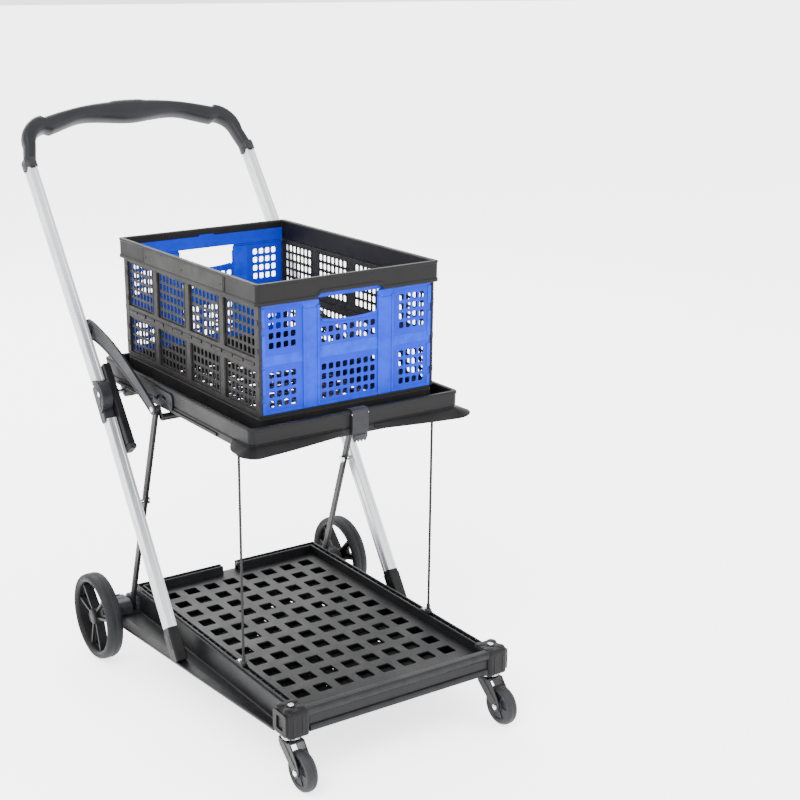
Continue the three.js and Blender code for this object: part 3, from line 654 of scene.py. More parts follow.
def crateSide(mesh):
    size = sideSizes
    xIn, xOut = sideLow.x, sideHigh.x
    y0, y1, z0, z1 = sideLow.y, sideHigh.y, sideLow.z, sideHigh.z
    middle = curbHigh.z + size["foldRise"]
    clear = y1 - y0 - 2 * size["post"]
    wide = (clear - (size["columns"] - 1) * size["rib"]) / size["columns"]
    # posts at the corners, rails and ribs stand proud of the window sheets
    for a, b in ((y0, y0 + size["post"]), (y1 - size["post"], y1)):
        block(mesh, xIn, xOut, a, b, z0, z1)
        for z in (z0 + 18, z0 + 52, middle + 20, z1 - 34):
            block(mesh, xOut - 0.6, xOut + 0.8, a + 3, b - 3, z, z + 9)
    rows = [(z0 + size["railTop"], middle - size["railMiddle"]),
            (middle + size["railMiddle"], z1 - size["railTop"])]
    rails = [(z0, rows[0][0]), (rows[0][1], middle - 0.7), (middle + 0.7, rows[1][0]), (rows[1][1], z1)]
    for low, high in rails:
        block(mesh, xIn + 0.4, xOut - 0.3, y0 + size["post"] - 1, y1 - size["post"] + 1, low, high)
    ribs = [y0 + size["post"] + k * (wide + size["rib"]) - size["rib"] for k in range(1, size["columns"])]
    for y in ribs:
        for low, high in rows:
            block(mesh, xIn + 0.4, xOut - 0.3, y, y + size["rib"], low - 0.5, high + 0.5)
            block(mesh, xOut - 0.5, xOut + 0.5, y + 2, y + 4, low + 1, high - 1)
            block(mesh, xOut - 0.5, xOut + 0.5, y + size["rib"] - 4, y + size["rib"] - 2, low + 1, high - 1)
    for k in range(size["columns"]):
        start = y0 + size["post"] + k * (wide + size["rib"])
        for (low, high), up in zip(rows, size["holesUp"]):
            depth = xOut - size["recess"] - size["sheet"]
            holeField(mesh, "x", start - 0.5, start + wide + 0.5, low - 0.5, high + 0.5,
                      size["holesAcross"],
                      up, size["pitchAcross"], size["pitchUp"], size["halfAcross"], size["halfUp"],
                      depth, depth + size["sheet"], corner=2.2)
    # segmented hinge barrels between the two rows
    count = 13
    for k in range(count):
        a = y0 + size["post"] + clear * (k + 0.06) / count
        b = y0 + size["post"] + clear * (k + 0.94) / count
        out = 1.6 if k % 2 else 1.1
        outline = [(xOut - 1.5, middle - 3.4), (xOut + out - 0.6, middle - 3.2), (xOut + out, middle - 1.8),
                   (xOut + out, middle + 1.8), (xOut + out - 0.6, middle + 3.2), (xOut - 1.5, middle + 3.4)]
        prism(mesh, "y", outline, a, b)


finishPair("crateSide", crateSide, "crate", cratePlastic, "crate_side", bevel=0.4)

panelSizes = {"thick": 2.4, "channelWide": 31, "channelAt": 0.235, "pitchU": 14.6, "pitchUp": 17.0,
              "halfU": 4.9, "halfV": 5.6, "slotHalf": 61, "slotTop": 5, "slotHigh": 36, "channelProud": 2.4,
              "bandLow": 86, "bandHigh": 103, "middleBand": 107}


# An end panel, drawn facing the front and turned round for the rear.
def crateEnd(name, low, high, body, node, outward):
    size = panelSizes
    mesh = bmesh.new()
    half = high.x
    z0, z1 = low.z, high.z
    pivot = z1 - 2.5
    outer = low.y if outward < 0 else high.y
    inner = outer - outward * size["thick"]
    y0, y1 = min(outer, inner) , max(outer, inner)
    y0, y1 = (y0 + 0.9, y1 + 0.9) if outward < 0 else (y0 - 0.9, y1 - 0.9)
    width = 2 * half
    left = (-half + size["channelAt"] * width, -half + size["channelAt"] * width + size["channelWide"])
    right = (-left[1], -left[0])
    fields = [(-half, left[0]), (left[1], right[0]), (right[1], half)]
    top = pivot - 0.5
    slotTop = pivot - size["slotTop"]
    slotLow = slotTop - size["slotHigh"]
    for index, (a, b) in enumerate(fields):
        columns = 8 if index == 1 else 4
        # lower rows, plain band, upper rows
        splitLow, splitHigh = z0 + size["bandLow"], z0 + size["bandHigh"]
        if index == 1:
            splitHigh = z0 + size["middleBand"]
            upperTop = slotLow - 3
            holeField(mesh, "y", a, b, z0, splitLow, columns, 4, size["pitchU"], size["pitchUp"],
                      size["halfU"],
                      size["halfV"], y0, y1)
            plateWithHoles(mesh, "y", [(a, splitLow), (b, splitLow), (b, splitHigh), (a, splitHigh)], [],
                           y0, y1)
            holeField(mesh, "y", a, b, splitHigh, upperTop, columns, 2, size["pitchU"], size["pitchUp"],
                      size["halfU"], size["halfV"], y0, y1)
            curve = [(-size["slotHalf"], top), (-size["slotHalf"], slotLow + 10)]
            for k in range(13):
                u = -size["slotHalf"] + 5 + (2 * size["slotHalf"] - 10) * k / 12
                curve.append((u, slotLow + 5 * (abs(u) / size["slotHalf"]) ** 2.2))
            curve += [(size["slotHalf"], slotLow + 10), (size["slotHalf"], top)]
            notched = [(a, top)] + curve + [(b, top), (b, upperTop), (a, upperTop)]
            plateWithHoles(mesh, "y", notched, [], y0, y1)
            bead = [Vector((u, (y0 + y1) / 2 + outward * 2.0, v)) for u, v in curve[2:15]]
            rod(mesh, bead, 2.3, 10)
            rod(mesh, [Vector((-size["slotHalf"], (y0 + y1) / 2 + outward * 1.4, slotTop - 5)),
                       Vector((-size["slotHalf"], (y0 + y1) / 2 + outward * 1.4, slotLow + 8))], 1.7, 8)
            rod(mesh, [Vector((size["slotHalf"], (y0 + y1) / 2 + outward * 1.4, slotTop - 5)),
                       Vector((size["slotHalf"], (y0 + y1) / 2 + outward * 1.4, slotLow + 8))], 1.7, 8)
        else:
            holeField(mesh, "y", a, b, z0, splitLow, columns, 4, size["pitchU"], size["pitchUp"],
                      size["halfU"],
                      size["halfV"], y0, y1)
            plateWithHoles(mesh, "y", [(a, splitLow), (b, splitLow), (b, splitHigh), (a, splitHigh)], [],
                           y0, y1)
            holeField(mesh, "y", a, b, splitHigh, top, columns, 4, size["pitchU"], size["pitchUp"],
                      size["halfU"],
                      size["halfV"], y0, y1)
    # the two raised channels: a plate between two proud edges
    for a, b in (left, right):
        plateWithHoles(mesh, "y", [(a, z0), (b, z0), (b, top), (a, top)], [], y0, y1)
        face = y0 if outward < 0 else y1
        proud = face + outward * size["channelProud"]
        for u0, u1 in ((a - 1, a + 3), (b - 3, b + 1)):
            block(mesh, u0, u1, min(face - outward, proud), max(face - outward, proud), z0 + 1.5, top - 9)
        block(mesh, a + 2, b - 2, min(face - outward, face + outward), max(face - outward, face + outward),
              z0 + 3,
              top - 12)
    # edge strips with the notches that the crate's lugs sit in
    face = y0 if outward < 0 else y1
    for s in (-1, 1):
        edge = s * half
        for za, zb in ((z0 + 1, z0 + 22), (z0 + 36, z0 + 80), (z0 + 94, z0 + 140), (z0 + 154, top - 3)):
            block(mesh, min(edge, edge - s * 7), max(edge, edge - s * 7),
                  min(face - outward, face + outward * 1.4),
                  max(face - outward, face + outward * 1.4), za, zb)
    block(mesh, -half + 2, half - 2, min(face - outward, face + outward * 1.2),
          max(face - outward, face + outward * 1.2), z0 + 0.4, z0 + 5)
    # round hinge edge along the top
    for a, b in ((-half + 1, -size["slotHalf"] - 2), (size["slotHalf"] + 2, half - 1)):
        middle = (low.y + high.y) / 2
        turned(mesh, "x", ((a + b) / 2, middle, pivot), [(0, a - (a + b) / 2), (2.1, a - (a + b) / 2),
                                                        (2.1, b - (a + b) / 2), (0, b - (a + b) / 2)], 16)
    return finishPiece(name, mesh, body, bluePlastic, [node], bevel=0.35)


crateEnd("crateEndFront", endLow, endHigh, "end_front", "crate_end_front", -1)
crateEnd("crateEndRear", rearEndLow, rearEndHigh, "end_rear", "crate_end_rear", 1)


# Blue hanger strips inside the rim, over the panels' hinges.
def hangerStrips(size):
    mesh = bmesh.new()
    z0 = crateLow.z - 0.4
    for y, s in ((crateLow.y + 11, 1), (crateHigh.y - 11, -1)):
        a, b = y + s * 0.3, y + s * 2.2
        outline = [(-size["half"], z0), (size["half"], z0), (size["half"], z0 + size["high"])]
        outline += [(size["tab"] + 2, z0 + size["high"]),
                    (size["tab"], z0 + size["high"] + size["tabHigh"])]
        outline += [(-size["tab"], z0 + size["high"] + size["tabHigh"]),
                    (-size["tab"] - 2, z0 + size["high"])]
        outline += [(-size["half"], z0 + size["high"])]
        plateWithHoles(mesh, "y", outline, [], min(a, b), max(a, b))
    return finishPiece("hangerStrips", mesh, "crate", bluePlastic, bevel=0.3)


hangerStrips({"half": crateHigh.x - 13, "high": 24, "tab": 16, "tabHigh": 3})


# Black lugs of the corner posts that reach round onto the blue ends.
def cornerLugs(mesh):
    x0, x1 = sideLow.x, sideHigh.x
    for y, s in ((sideLow.y, -1), (sideHigh.y, 1)):
        for z in (sideLow.z + 28, sideLow.z + 88, sideLow.z + 152):
            block(mesh, x0 - 0.2, x1 - 0.4, min(y, y + s * 2.2), max(y, y + s * 2.2), z, z + 11)
        block(mesh, x0 + 0.6, x1 - 0.4, min(y, y + s * 1.4), max(y, y + s * 1.4), sideLow.z + 2,
              sideHigh.z - 2)


finishPair("crateLugs", cornerLugs, "crate", cratePlastic, None, bevel=0.4)
print("crate built")

# ---- upper tray ----
traySizes = {"radius": 12, "floor": 4, "band": 14, "skirtOut": 15, "earOut": 22, "earReach": 26,
             "skirtLong": 50, "skirtDip": 9, "columns": 9, "rows": 13}
trayHalf = trayHigh.x - traySizes["earReach"]


def upperTray(size):
    mesh = bmesh.new()
    rect = (-trayHalf, trayHalf, trayLow.y + 13, trayHigh.y)
    z0, z1 = trayLow.z, trayHigh.z
    band = z0 + size["band"]
    profile = [(1.6, z0), (0.6, z0 + 1.5), (0.6, band - 2), (2.4, band), (2.4, band + 1.6), (0.8, band + 3),
               (0.4, z1 - 7), (-0.8, z1 - 5.5), (-0.8, z1 - 2), (0.4, z1 - 0.4), (2, z1), (6.2, z1),
               (8, z1 - 1.2),
               (9, z1 - 4), (9.6, z0 + 6), (9.6, z0 + 1)]
    ringWall(mesh, rect, size["radius"], profile, steps=8)
    inset = 9.2
    x0, x1, y0, y1 = rect[0] + inset, rect[1] - inset, rect[2] + inset, rect[3] - inset
    holeField(mesh, "z", x0, x1, y0, y1, size["columns"], size["rows"], 38, 40, 12, 13, z0 + 0.6,
              z0 + size["floor"], corner=4)
    # ribs under the floor and little posts inside the wall
    for k in range(size["columns"] + 1):
        x = (k - size["columns"] / 2) * 38
        block(mesh, x - 1.2, x + 1.2, y0 - 2, y1 + 2, z0 - 0.0, z0 + 1.6)
    for k in range(1, 14):
        y = rect[2] + (rect[3] - rect[2]) * k / 14
        for s in (-1, 1):
            x = s * (trayHalf - 9.4)
            block(mesh, min(x, x - s * 3), max(x, x - s * 3), y - 1.2, y + 1.2, z0 + 3, z1 - 12)
    # flared skirt round the two front corners
    for s in (-1, 1):
        path = []
        r = size["radius"]
        for k in range(7):
            path.append(((s * trayHalf, rect[2] + r + size["skirtLong"] * (6 - k) / 6), (s, 0), 0.0 + k / 6))
        for k in range(1, 9):
            a = math.pi / 2 * k / 9
            normal = (s * math.cos(a), -math.sin(a))
            path.append(((s * (trayHalf - r + r * math.cos(a)), rect[2] + r - r * math.sin(a)), normal, 1.0))
        far = trayHalf - r - 34
        for k in range(11):
            path.append(((s * (trayHalf - r - far * k / 10), rect[2]), (0, -1), 1.0 - k / 10))
        stations = []
        for (x, y), (nx, ny), share in path:
            wave = 0.35 + 0.65 * math.sin(min(share * 1.25, 1) * math.pi / 2) ** 1.4
            out = (size["skirtOut"] * abs(ny) + size["earOut"] * abs(nx)) * wave
            if share <= 0.001:
                out = 2.0
            drop = 2.2 * (1 - wave) + size["skirtDip"] * share * (1 - 0.7 * abs(nx))
            section = [(-2.5, z0 + 13.5), (1.2, z0 + 12.5), (out * 0.6, z0 + 9.2 - drop * 0.3),
                       (out, z0 + 7.4 - drop), (out + 0.4, z0 + 5.8 - drop), (out - 0.8, z0 + 5.0 - drop),
                       (out * 0.55, z0 + 6.4 - drop * 0.5), (0.6, z0 + 9.5), (-2.5, z0 + 9.5)]
            stations.append(((x, y, 0), (nx, ny, 0), (0, 0, 1), section))
        loft(mesh, stations)
        # rail under the side of the tray
        block(mesh, min(s * (trayHalf - 0.5), s * (trayHalf + 2)),
              max(s * (trayHalf - 0.5), s * (trayHalf + 2)),
              rect[2] + 120, rect[3] - 60, z0 + 3, z0 + 8)
    return finishPiece("upperTray", mesh, "tray", blackPlastic, ["tray"], bevel=0.5)


upperTray(traySizes)


def trayBracket(mesh):
    low, high = span("tray_hinge_right")
    hy, hz = jointAt("tray_level")
    outline = [(hy - 58, trayLow.z - 0.2), (hy - 30, trayLow.z - 12), (hy - 13, hz - 9)]
    outline += arcPoints(hy, hz, 12.5, math.radians(215), math.radians(345), 8)
    outline += [(hy + 19, trayLow.z - 0.2)]
    prism(mesh, "x", outline, low.x, low.x + 4)
    prism(mesh, "x", outline, high.x - 4, high.x)
    inner = [(y * 0.9 + hy * 0.1, z + 1.2) for y, z in outline]
    prism(mesh, "x", inner, low.x + 3, high.x - 3)
    turned(mesh, "x", (low.x, hy, hz), [(7.5, -0.8), (8.2, 0), (8.2, high.x - low.x), (7.5,
                                                            high.x - low.x + 0.8),
                                        (4.7, high.x - low.x + 0.8), (4.7, -0.8)], 28, closed=True)


finishPair("trayBracket", trayBracket, "tray", blackPlastic, "tray_hinge", bevel=0.5)


# Plate on the tray's side with a curved slot, above the strut's top pin.
def slotPlate(mesh):
    ty = jointAt("arm_swing")[0]
    x0 = trayHalf + 0.4
    outline = roundedOutline(ty - 46, ty + 34, trayLow.z + 6, trayHigh.z - 8, 9, 5)
    centre = (ty - 6, trayLow.z - 6)
    slot = arcPoints(centre[0], centre[1], 35, math.radians(40), math.radians(118), 12)
    slot += arcPoints(centre[0], centre[1], 29, math.radians(118), math.radians(40), 12)
    plateWithHoles(mesh, "x", outline, [slot], x0, x0 + 2.4)
    for y in (ty - 38, ty + 26):
        turned(mesh, "x", (x0 + 2.4, y, trayLow.z + 16), [(4, -0.5), (4, 0.6), (2.8, 1.5), (0, 1.8)], 16)


finishPair("trayPlate", slotPlate, "tray", greyPlastic, None, bevel=0.4)

# ---- tray latch ----
latchSizes = {"teeth": 4}


def trayLatch():
    low, high = span("tray_latch")
    mesh = bmesh.new()
    y0, y1, z0, z1 = low.y, high.y, low.z, high.z
    flap = [(y1, z1 - 2.6), (y1 - 1, z1 - 0.6), (y0 + 5, z1 + 0.6), (y0 + 1.2, z1 - 1.4),
            (y0 - 0.6, z1 - 6),
            (y0 - 0.9, z0 + 26), (y0 + 0.6, z0 + 16), (y0 + 3.4, z0 + 15), (y0 + 4.4, z0 + 24),
            (y0 + 4.5, z1 - 4.6),
            (y0 + 8, z1 - 2.8)]
    for a, b in ((low.x, -6.4), (-6.0, 6.0), (6.4, high.x)):
        prism(mesh, "x", flap, a, b)
    prism(mesh, "x", [(y, z - 0.5) for y, z in flap[2:9]] + [(y0 + 4.2, z1 - 6)], low.x + 2, high.x - 2)
    return finishPiece("trayLatch", mesh, "latch", greyPlastic, ["tray_latch"], bevel=0.7, segments=3)


def latchHook(size):
    low, high = span("tray_latch")
    mesh = bmesh.new()
    y0, z0 = low.y, low.z
    outline = [(low.x + 1, z0 + 20), (low.x + 1, z0 + 9)]
    for k in range(size["teeth"]):
        u = low.x + 3 + (high.x - low.x - 6) * k / size["teeth"]
        w = (high.x - low.x - 6) / size["teeth"]
        outline += [(u, z0 + 5), (u + 0.35 * w, z0 + 1), (u + 0.65 * w, z0 + 1), (u + w, z0 + 5)]
    outline += [(high.x - 1, z0 + 9), (high.x - 1, z0 + 20)]
    plateWithHoles(mesh, "y", outline, [], y0 + 1.2, y0 + 3.0)
    block(mesh, low.x + 4, high.x - 4, y0 - 0.6, y0 + 1.6, z0 + 10, z0 + 14)
    return finishPiece("latchHook", mesh, "latch", blackSteel, bevel=0.35)


def latchPin():
    low, high = span("tray_latch")
    mesh = bmesh.new()
    centre = (0, low.y + 1.6, high.z - 9)
    turned(mesh, "x", centre, [(0, low.x - 1.2), (1.6, low.x - 0.8), (1.9, low.x), (1.9, high.x),
                               (1.6, high.x + 0.8), (0, high.x + 1.2)], 16)
    return finishPiece("latchPin", mesh, "latch", brightSteel, bevel=0)


trayLatch()
latchHook(latchSizes)
latchPin()
print("tray built")

# ---- base ----
deckSizes = {"deckDrop": 18, "columns": 8, "rows": 11, "pitchX": 46, "pitchY": 50,
             "halfHole": 13.5, "corner": 2.6, "thick": 4, "rimWide": 17,
             "frontFirst": 84, "rearGap": 36, "skin": 5, "ribDrop": 9, "panHole": 10,
             "panHoles": [(2, 6), (3, 7), (4, 8), (5, 9), (6, 9), (7, 8), (7, 4), (3, 2), (4, 3)]}


# One straight run of the rim: profile of (inset, z) carried along a side between two corners.
def rimRun(mesh, start, end, inward, profile, mitreStart, mitreEnd):
    way = (Vector(end) - Vector(start)).normalized()
    loopA, loopB = [], []
    for inset, z in profile:
        a = Vector(start) + Vector(inward) * inset + way * (inset if mitreStart else 0)
        b = Vector(end) + Vector(inward) * inset - way * (inset if mitreEnd else 0)
        loopA.append(mesh.verts.new((a.x, a.y, z)))
        loopB.append(mesh.verts.new((b.x, b.y, z)))
    loopWalls(mesh, loopA, loopB)
    mesh.faces.new(loopA)
    mesh.faces.new(loopB)


def basePlatform(size):
    mesh = bmesh.new()
    half, y0, y1 = baseHigh.x, baseLow.y, baseHigh.y
    z0, z1 = baseLow.z, baseHigh.z
    deck = z1 - size["deckDrop"]
    # deck sheet
    inX = half - size["rimWide"] + 1
    inFront, inRear = y0 + size["rimWide"] + 5, y1 - size["rimWide"] + 1
    firstY = y0 + size["frontFirst"] - size["pitchY"] / 2
    linesU = [-inX] + [(k - size["columns"] / 2) * size["pitchX"] for k in range(size["columns"] + 1)] + [inX]
    linesV = [inFront] + [firstY + k * size["pitchY"] for k in range(size["rows"] + 1)] + [inRear]
    holes = {(i + 1, j + 1): (size["halfHole"], size["halfHole"]) for i in range(size["columns"])
             for j in range(size["rows"])}
    perforated(mesh, "z", linesU, linesV, holes, deck - size["thick"], deck, size["corner"], lip=0.8,
               steps=3)
    # closed pan below, open only at a few drain holes
    drains = {cell: (size["panHole"], size["panHole"]) for cell in size["panHoles"]}
    panU = [-half + 4] + linesU[1:-1] + [half - 4]
    panV = [y0 + 8] + linesV[1:-1] + [y1 - 4]
    perforated(mesh, "z", panU, panV, drains, z0 + 0.2, z0 + 2.2, size["corner"], lip=0.6, steps=3)
    # ribs under the deck
    for i in range(size["columns"] + 1):
        x = (i - size["columns"] / 2) * size["pitchX"]
        block(mesh, x - 1.4, x + 1.4, inFront - 2, inRear + 2, deck - size["ribDrop"] - 4,
              deck - size["thick"] + 0.5)
    for j in range(size["rows"] + 1):
        y = firstY + j * size["pitchY"]
        block(mesh, -inX, inX, y - 1.4, y + 1.4, deck - size["ribDrop"] - 6, deck - size["thick"] + 0.5)
    # rim: a double ridge with a groove between, on a skirt wall
    skin = size["skin"]
    wide = size["rimWide"]
    ridge = [(0, z0), (0, z1 - 1.4), (0.9, z1), (3.4, z1), (4.3, z1 - 0.8), (4.8, z1 - 8), (10.6, z1 - 8),
             (11.2, z1 - 1.6), (12.0, z1 - 1.0), (14.0, z1 - 1.0), (15.0, z1 - 2), (wide, deck - 1),
             (wide, deck - 4), (skin, deck - 4), (skin, z0 + 1)]
    gapHalf = size["rearGap"] / 2
    rimRun(mesh, (half, y1), (half, y0), (-1, 0), ridge, True, True)
    rimRun(mesh, (-half, y0), (-half, y1), (1, 0), ridge, True, True)
    rimRun(mesh, (-half, y1), (-gapHalf, y1), (0, -1), ridge, True, False)
    rimRun(mesh, (gapHalf, y1), (half, y1), (0, -1), ridge, False, True)
    low = [(0.4, z0 + 1), (0.4, deck + 0.4), (wide, deck), (wide, deck - 4), (skin, deck - 4),
           (skin, z0 + 1)]
    rimRun(mesh, (-gapHalf - 0.5, y1), (gapHalf + 0.5, y1), (0, -1), low, False, False)
    # front apron: rounded shoulder, recessed band, lower lip
    apron = [(3.6, z0 + 13), (3.6, z1 - 16), (0.8, z1 - 13.5), (0, z1 - 11), (0, z1 - 5), (1.0, z1 - 1.8),
             (3.2, z1),
             (14, z1), (16.5, z1 - 1), (wide + 5, z1 - 9), (wide + 7, deck - 1), (wide + 6, deck - 4),
             (9, deck - 4),
             (9, z0 + 13)]
    rimRun(mesh, (-half, y0), (half, y0), (0, 1), apron, True, True)
    lip = [(-0.8, z0 + 3), (-1.4, z0 + 5), (-1.4, z0 + 10), (0.6, z0 + 13.5), (9, z0 + 13.5), (9, z0 + 0.2),
           (6, z0 + 0.2)]
    rimRun(mesh, (-half + 22.6, y0), (half - 22.6, y0), (0, 1), lip, False, False)
    # cross ribs in the rim's groove
    count = 27
    for k in range(count):
        y = y0 + 52 + (y1 - y0 - 66) * k / (count - 1)
        for s in (-1, 1):
            a, b = s * (half - 4.4), s * (half - 11.4)
            block(mesh, min(a, b), max(a, b), y - 1, y + 1, z1 - 9, z1 - 3)
    for k in range(16):
        x = -half + 24 + (2 * half - 48) * k / 15
        if abs(x) > gapHalf + 3:
            block(mesh, x - 1, x + 1, y1 - 11.4, y1 - 4.4, z1 - 9, z1 - 3)
    for s in (-1, 1):
        a = s * gapHalf
        block(mesh, min(a, a + s * 3), max(a, a + s * 3), y1 - 16, y1 - 0.6, deck - 1, z1 - 1.2)
    return finishPiece("basePlatform", mesh, "base", deckPlastic, ["base_platform"], bevel=0.6)


basePlatform(deckSizes)

channelSizes = {"depth": 47, "taper": 38, "thick": 5, "steps": 6, "lipDrop": 8}


def sideChannel(mesh):
    size = channelSizes
    low, high = span("side_channel_right")
    floor = baseHigh.z - size["depth"]
    x0, xRear = low.x, high.x
    stations = []
    for k in range(size["steps"] + 1):
        share = k / size["steps"]
        y = low.y + (high.y - low.y) * share
        out = xRear - size["taper"] * (1 - share)
        lip = floor - 5 - size["lipDrop"] * share
        section = [(x0, floor - 5), (out - 16, floor - 5), (out - 3.5, lip), (out - 0.6, lip),
                   (out, lip + 1.5), (out, lip + 4.8), (out - 1.2, lip + 6), (out - 13, floor - 0.6),
                   (out - 15, floor),
                   (x0 + 8, floor), (x0 + 5.6, floor + 1.6), (x0 + size["thick"], floor + 4),
                   (x0 + size["thick"] - 0.6, high.z - 9), (x0 + 3.4, high.z - 0.6), (x0 + 2.4, high.z),
                   (x0, high.z)]
        stations.append(((0, y, 0), (1, 0, 0), (0, 0, 1), section))
    loft(mesh, stations)
    for k in range(5):
        y = low.y + 60 + (high.y - low.y - 120) * k / 4
        block(mesh, x0 + 3, x0 + 20, y - 1.5, y + 1.5, floor - 10, floor - 4)


finishPair("sideChannel", sideChannel, "base", deckPlastic, "side_channel", bevel=0.6)

cornerSizes = {"radius": 8, "wallOut": 3.2}


def cornerBlock(mesh):
    low, high = span("corner_block_right")
    cx, cy = (low.x + high.x) / 2, (low.y + 3 + high.y) / 2
    z0, z1 = low.z, high.z
    profile = [(3, z0), (0.8, z0 + 1), (0.2, z0 + 4), (0, z0 + 8), (0, z1 - 9), (0.9, z1 - 5),
               (3, z1 - 2.2), (6, z1 - 1)]
    out = cornerSizes["wallOut"]
    ringWall(mesh, (low.x, high.x - out, low.y, high.y), cornerSizes["radius"], profile, steps=5,
             closed=False)
    # outer side: a frame round a sunk window
    frameOut = roundedOutline(low.y + 5, high.y - 3, z0 + 3, z1 - 6, 5, 4)
    window = roundedOutline(cy - 12, cy + 9, z0 + 12, z1 - 14, 2.5, 3)
    plateWithHoles(mesh, "x", frameOut, [window], high.x - out - 1, high.x)
    # rounded lobes round the screw
    for dx, dy in ((-12, -12), (12, -12), (-12, 12), (12, 12)):
        turned(mesh, "z", (cx + dx, cy + dy, z1 - 2.5),
               [(9.5, -4), (9.5, 0.2), (8.6, 1.7), (6, 2.5), (0, 2.7)], 20)
    turned(mesh, "z", (cx, cy, z1 - 2.5), [(9, -3), (9, 1.2), (8.2, 2.4), (6.6, 2.6), (6.4, 1.4), (0,
                                                            1.4)], 24)
    # front ribs
    for dx in (-9, 9):
        block(mesh, cx + dx - 1.5, cx + dx + 1.5, low.y - 0.8, low.y + 2, z0 + 6, z1 - 12)


finishPair("cornerBlock", cornerBlock, "base", blackPlastic, "corner_block", bevel=0.6)


def screwHead(mesh):
    low, high = span("corner_screw_right")
    cx, cy = (low.x + high.x) / 2, (low.y + high.y) / 2
    z1 = high.z
    star = []
    for k in range(12):
        a = 2 * math.pi * k / 12
        r = 2.9 if k % 2 else 1.9
        star.append((cx + r * math.cos(a), cy + r * math.sin(a)))
    outer = arcPoints(cx, cy, 3.9, 0, 2 * math.pi * 23 / 24, 23)
    plateWithHoles(mesh, "z", outer, [star], z1 - 1.2, z1 + 0.5)
    turned(mesh, "z", (cx, cy, z1), [(5.5, -2.2), (5.4, -0.7), (4.6, 0.1), (3.8, 0.35), (3.6, -1), (0,
                                                            -1)], 24)


finishPair("cornerScrew", screwHead, "base", brightSteel, "corner_screw", bevel=0.2)


bracketSizes = {"slot": (228.2, 236.8)}
axleZ = (tyreLow.z + tyreHigh.z) / 2 * 1000


def axleBracket(mesh):
    low, high = span("axle_bracket_right")
    py, pz = jointAt("fold")
    top = high.z
    shape = [(py - 14, low.z), (10, low.z), (15, low.z + 5), (20, axleZ + 6), (12, top - 8),
             (7, top - 2), (-4, top),
             (py - 3, top), (py - 10, top - 5), (py - 14, top - 12)]
    slotIn, slotOut = bracketSizes["slot"]
    prism(mesh, "x", shape, low.x, slotIn)
    prism(mesh, "x", shape, slotOut, high.x - 7)
    small = [(y * 0.82 - 1.6, (z - axleZ) * 0.8 + axleZ) for y, z in shape]
    prism(mesh, "x", small, high.x - 8, high.x)
    prism(mesh, "x", [(py + 9, low.z + 2), (16, low.z + 6), (16, top - 12), (py + 9, top - 6)], slotIn - 1,
          slotOut + 1)
    prism(mesh, "x", [(py - 12, low.z), (py + 12, low.z), (py + 12, pz - 11), (py - 12, pz - 11)],
          slotIn - 1, slotOut + 1)
    turned(mesh, "x", (high.x - 9, py, pz), [(8, -2), (8, 2.4), (6.5, 3.2), (0, 3.2)], 24)
    for y in (-16, 6):
        block(mesh, slotOut + 6, high.x - 12, y - 1.2, y + 1.2, top - 14, top + 0.6)


finishPair("axleBracket", axleBracket, "base", greyPlastic, "axle_bracket", bevel=1.0)


def rearAxle():
    low, high = span("rear_axle")
    mesh = bmesh.new()
    z = (low.z + high.z) / 2
    profile = [(0, low.x), (3.6, low.x), (5, low.x + 1.6), (5, low.x + 26), (4.5, low.x + 27),
               (4.5, high.x - 27),
               (5, high.x - 26), (5, high.x - 1.6), (3.6, high.x), (0, high.x)]
    turned(mesh, "x", (0, 0, z), profile, 24)
    return finishPiece("rearAxle", mesh, "base", brightSteel, ["rear_axle"], bevel=0)


rearAxle()
print("base built")

# ---- rear wheels ----
wheelSizes = {"rimDepth": 8, "spokes": 3, "spread": 0.3, "webHalf": 4.5, "ribHalf": 9.5, "hub": 16}


def rearTyre(mesh):
    low, high = span("rear_tyre_right")
    cx, half, radius = (low.x + high.x) / 2, (high.x - low.x) / 2, (high.z - low.z) / 2
    profile = [(radius - 9.2, -half + 1.2), (radius - 7.4, -half + 0.2), (radius - 6, -half),
               (radius - 3.6, -half + 1.2),
               (radius - 1.5, -half + 4), (radius - 0.3, -half + 9), (radius, -1.1), (radius - 0.7, 0),
               (radius, 1.1),
               (radius - 0.3, half - 9), (radius - 1.5, half - 4), (radius - 3.6, half - 1.2),
               (radius - 6, half),
               (radius - 7.4, half - 0.2), (radius - 9.2, half - 1.2)]
    turned(mesh, "x", (cx, 0, low.z + radius), profile, 96, closed=True)


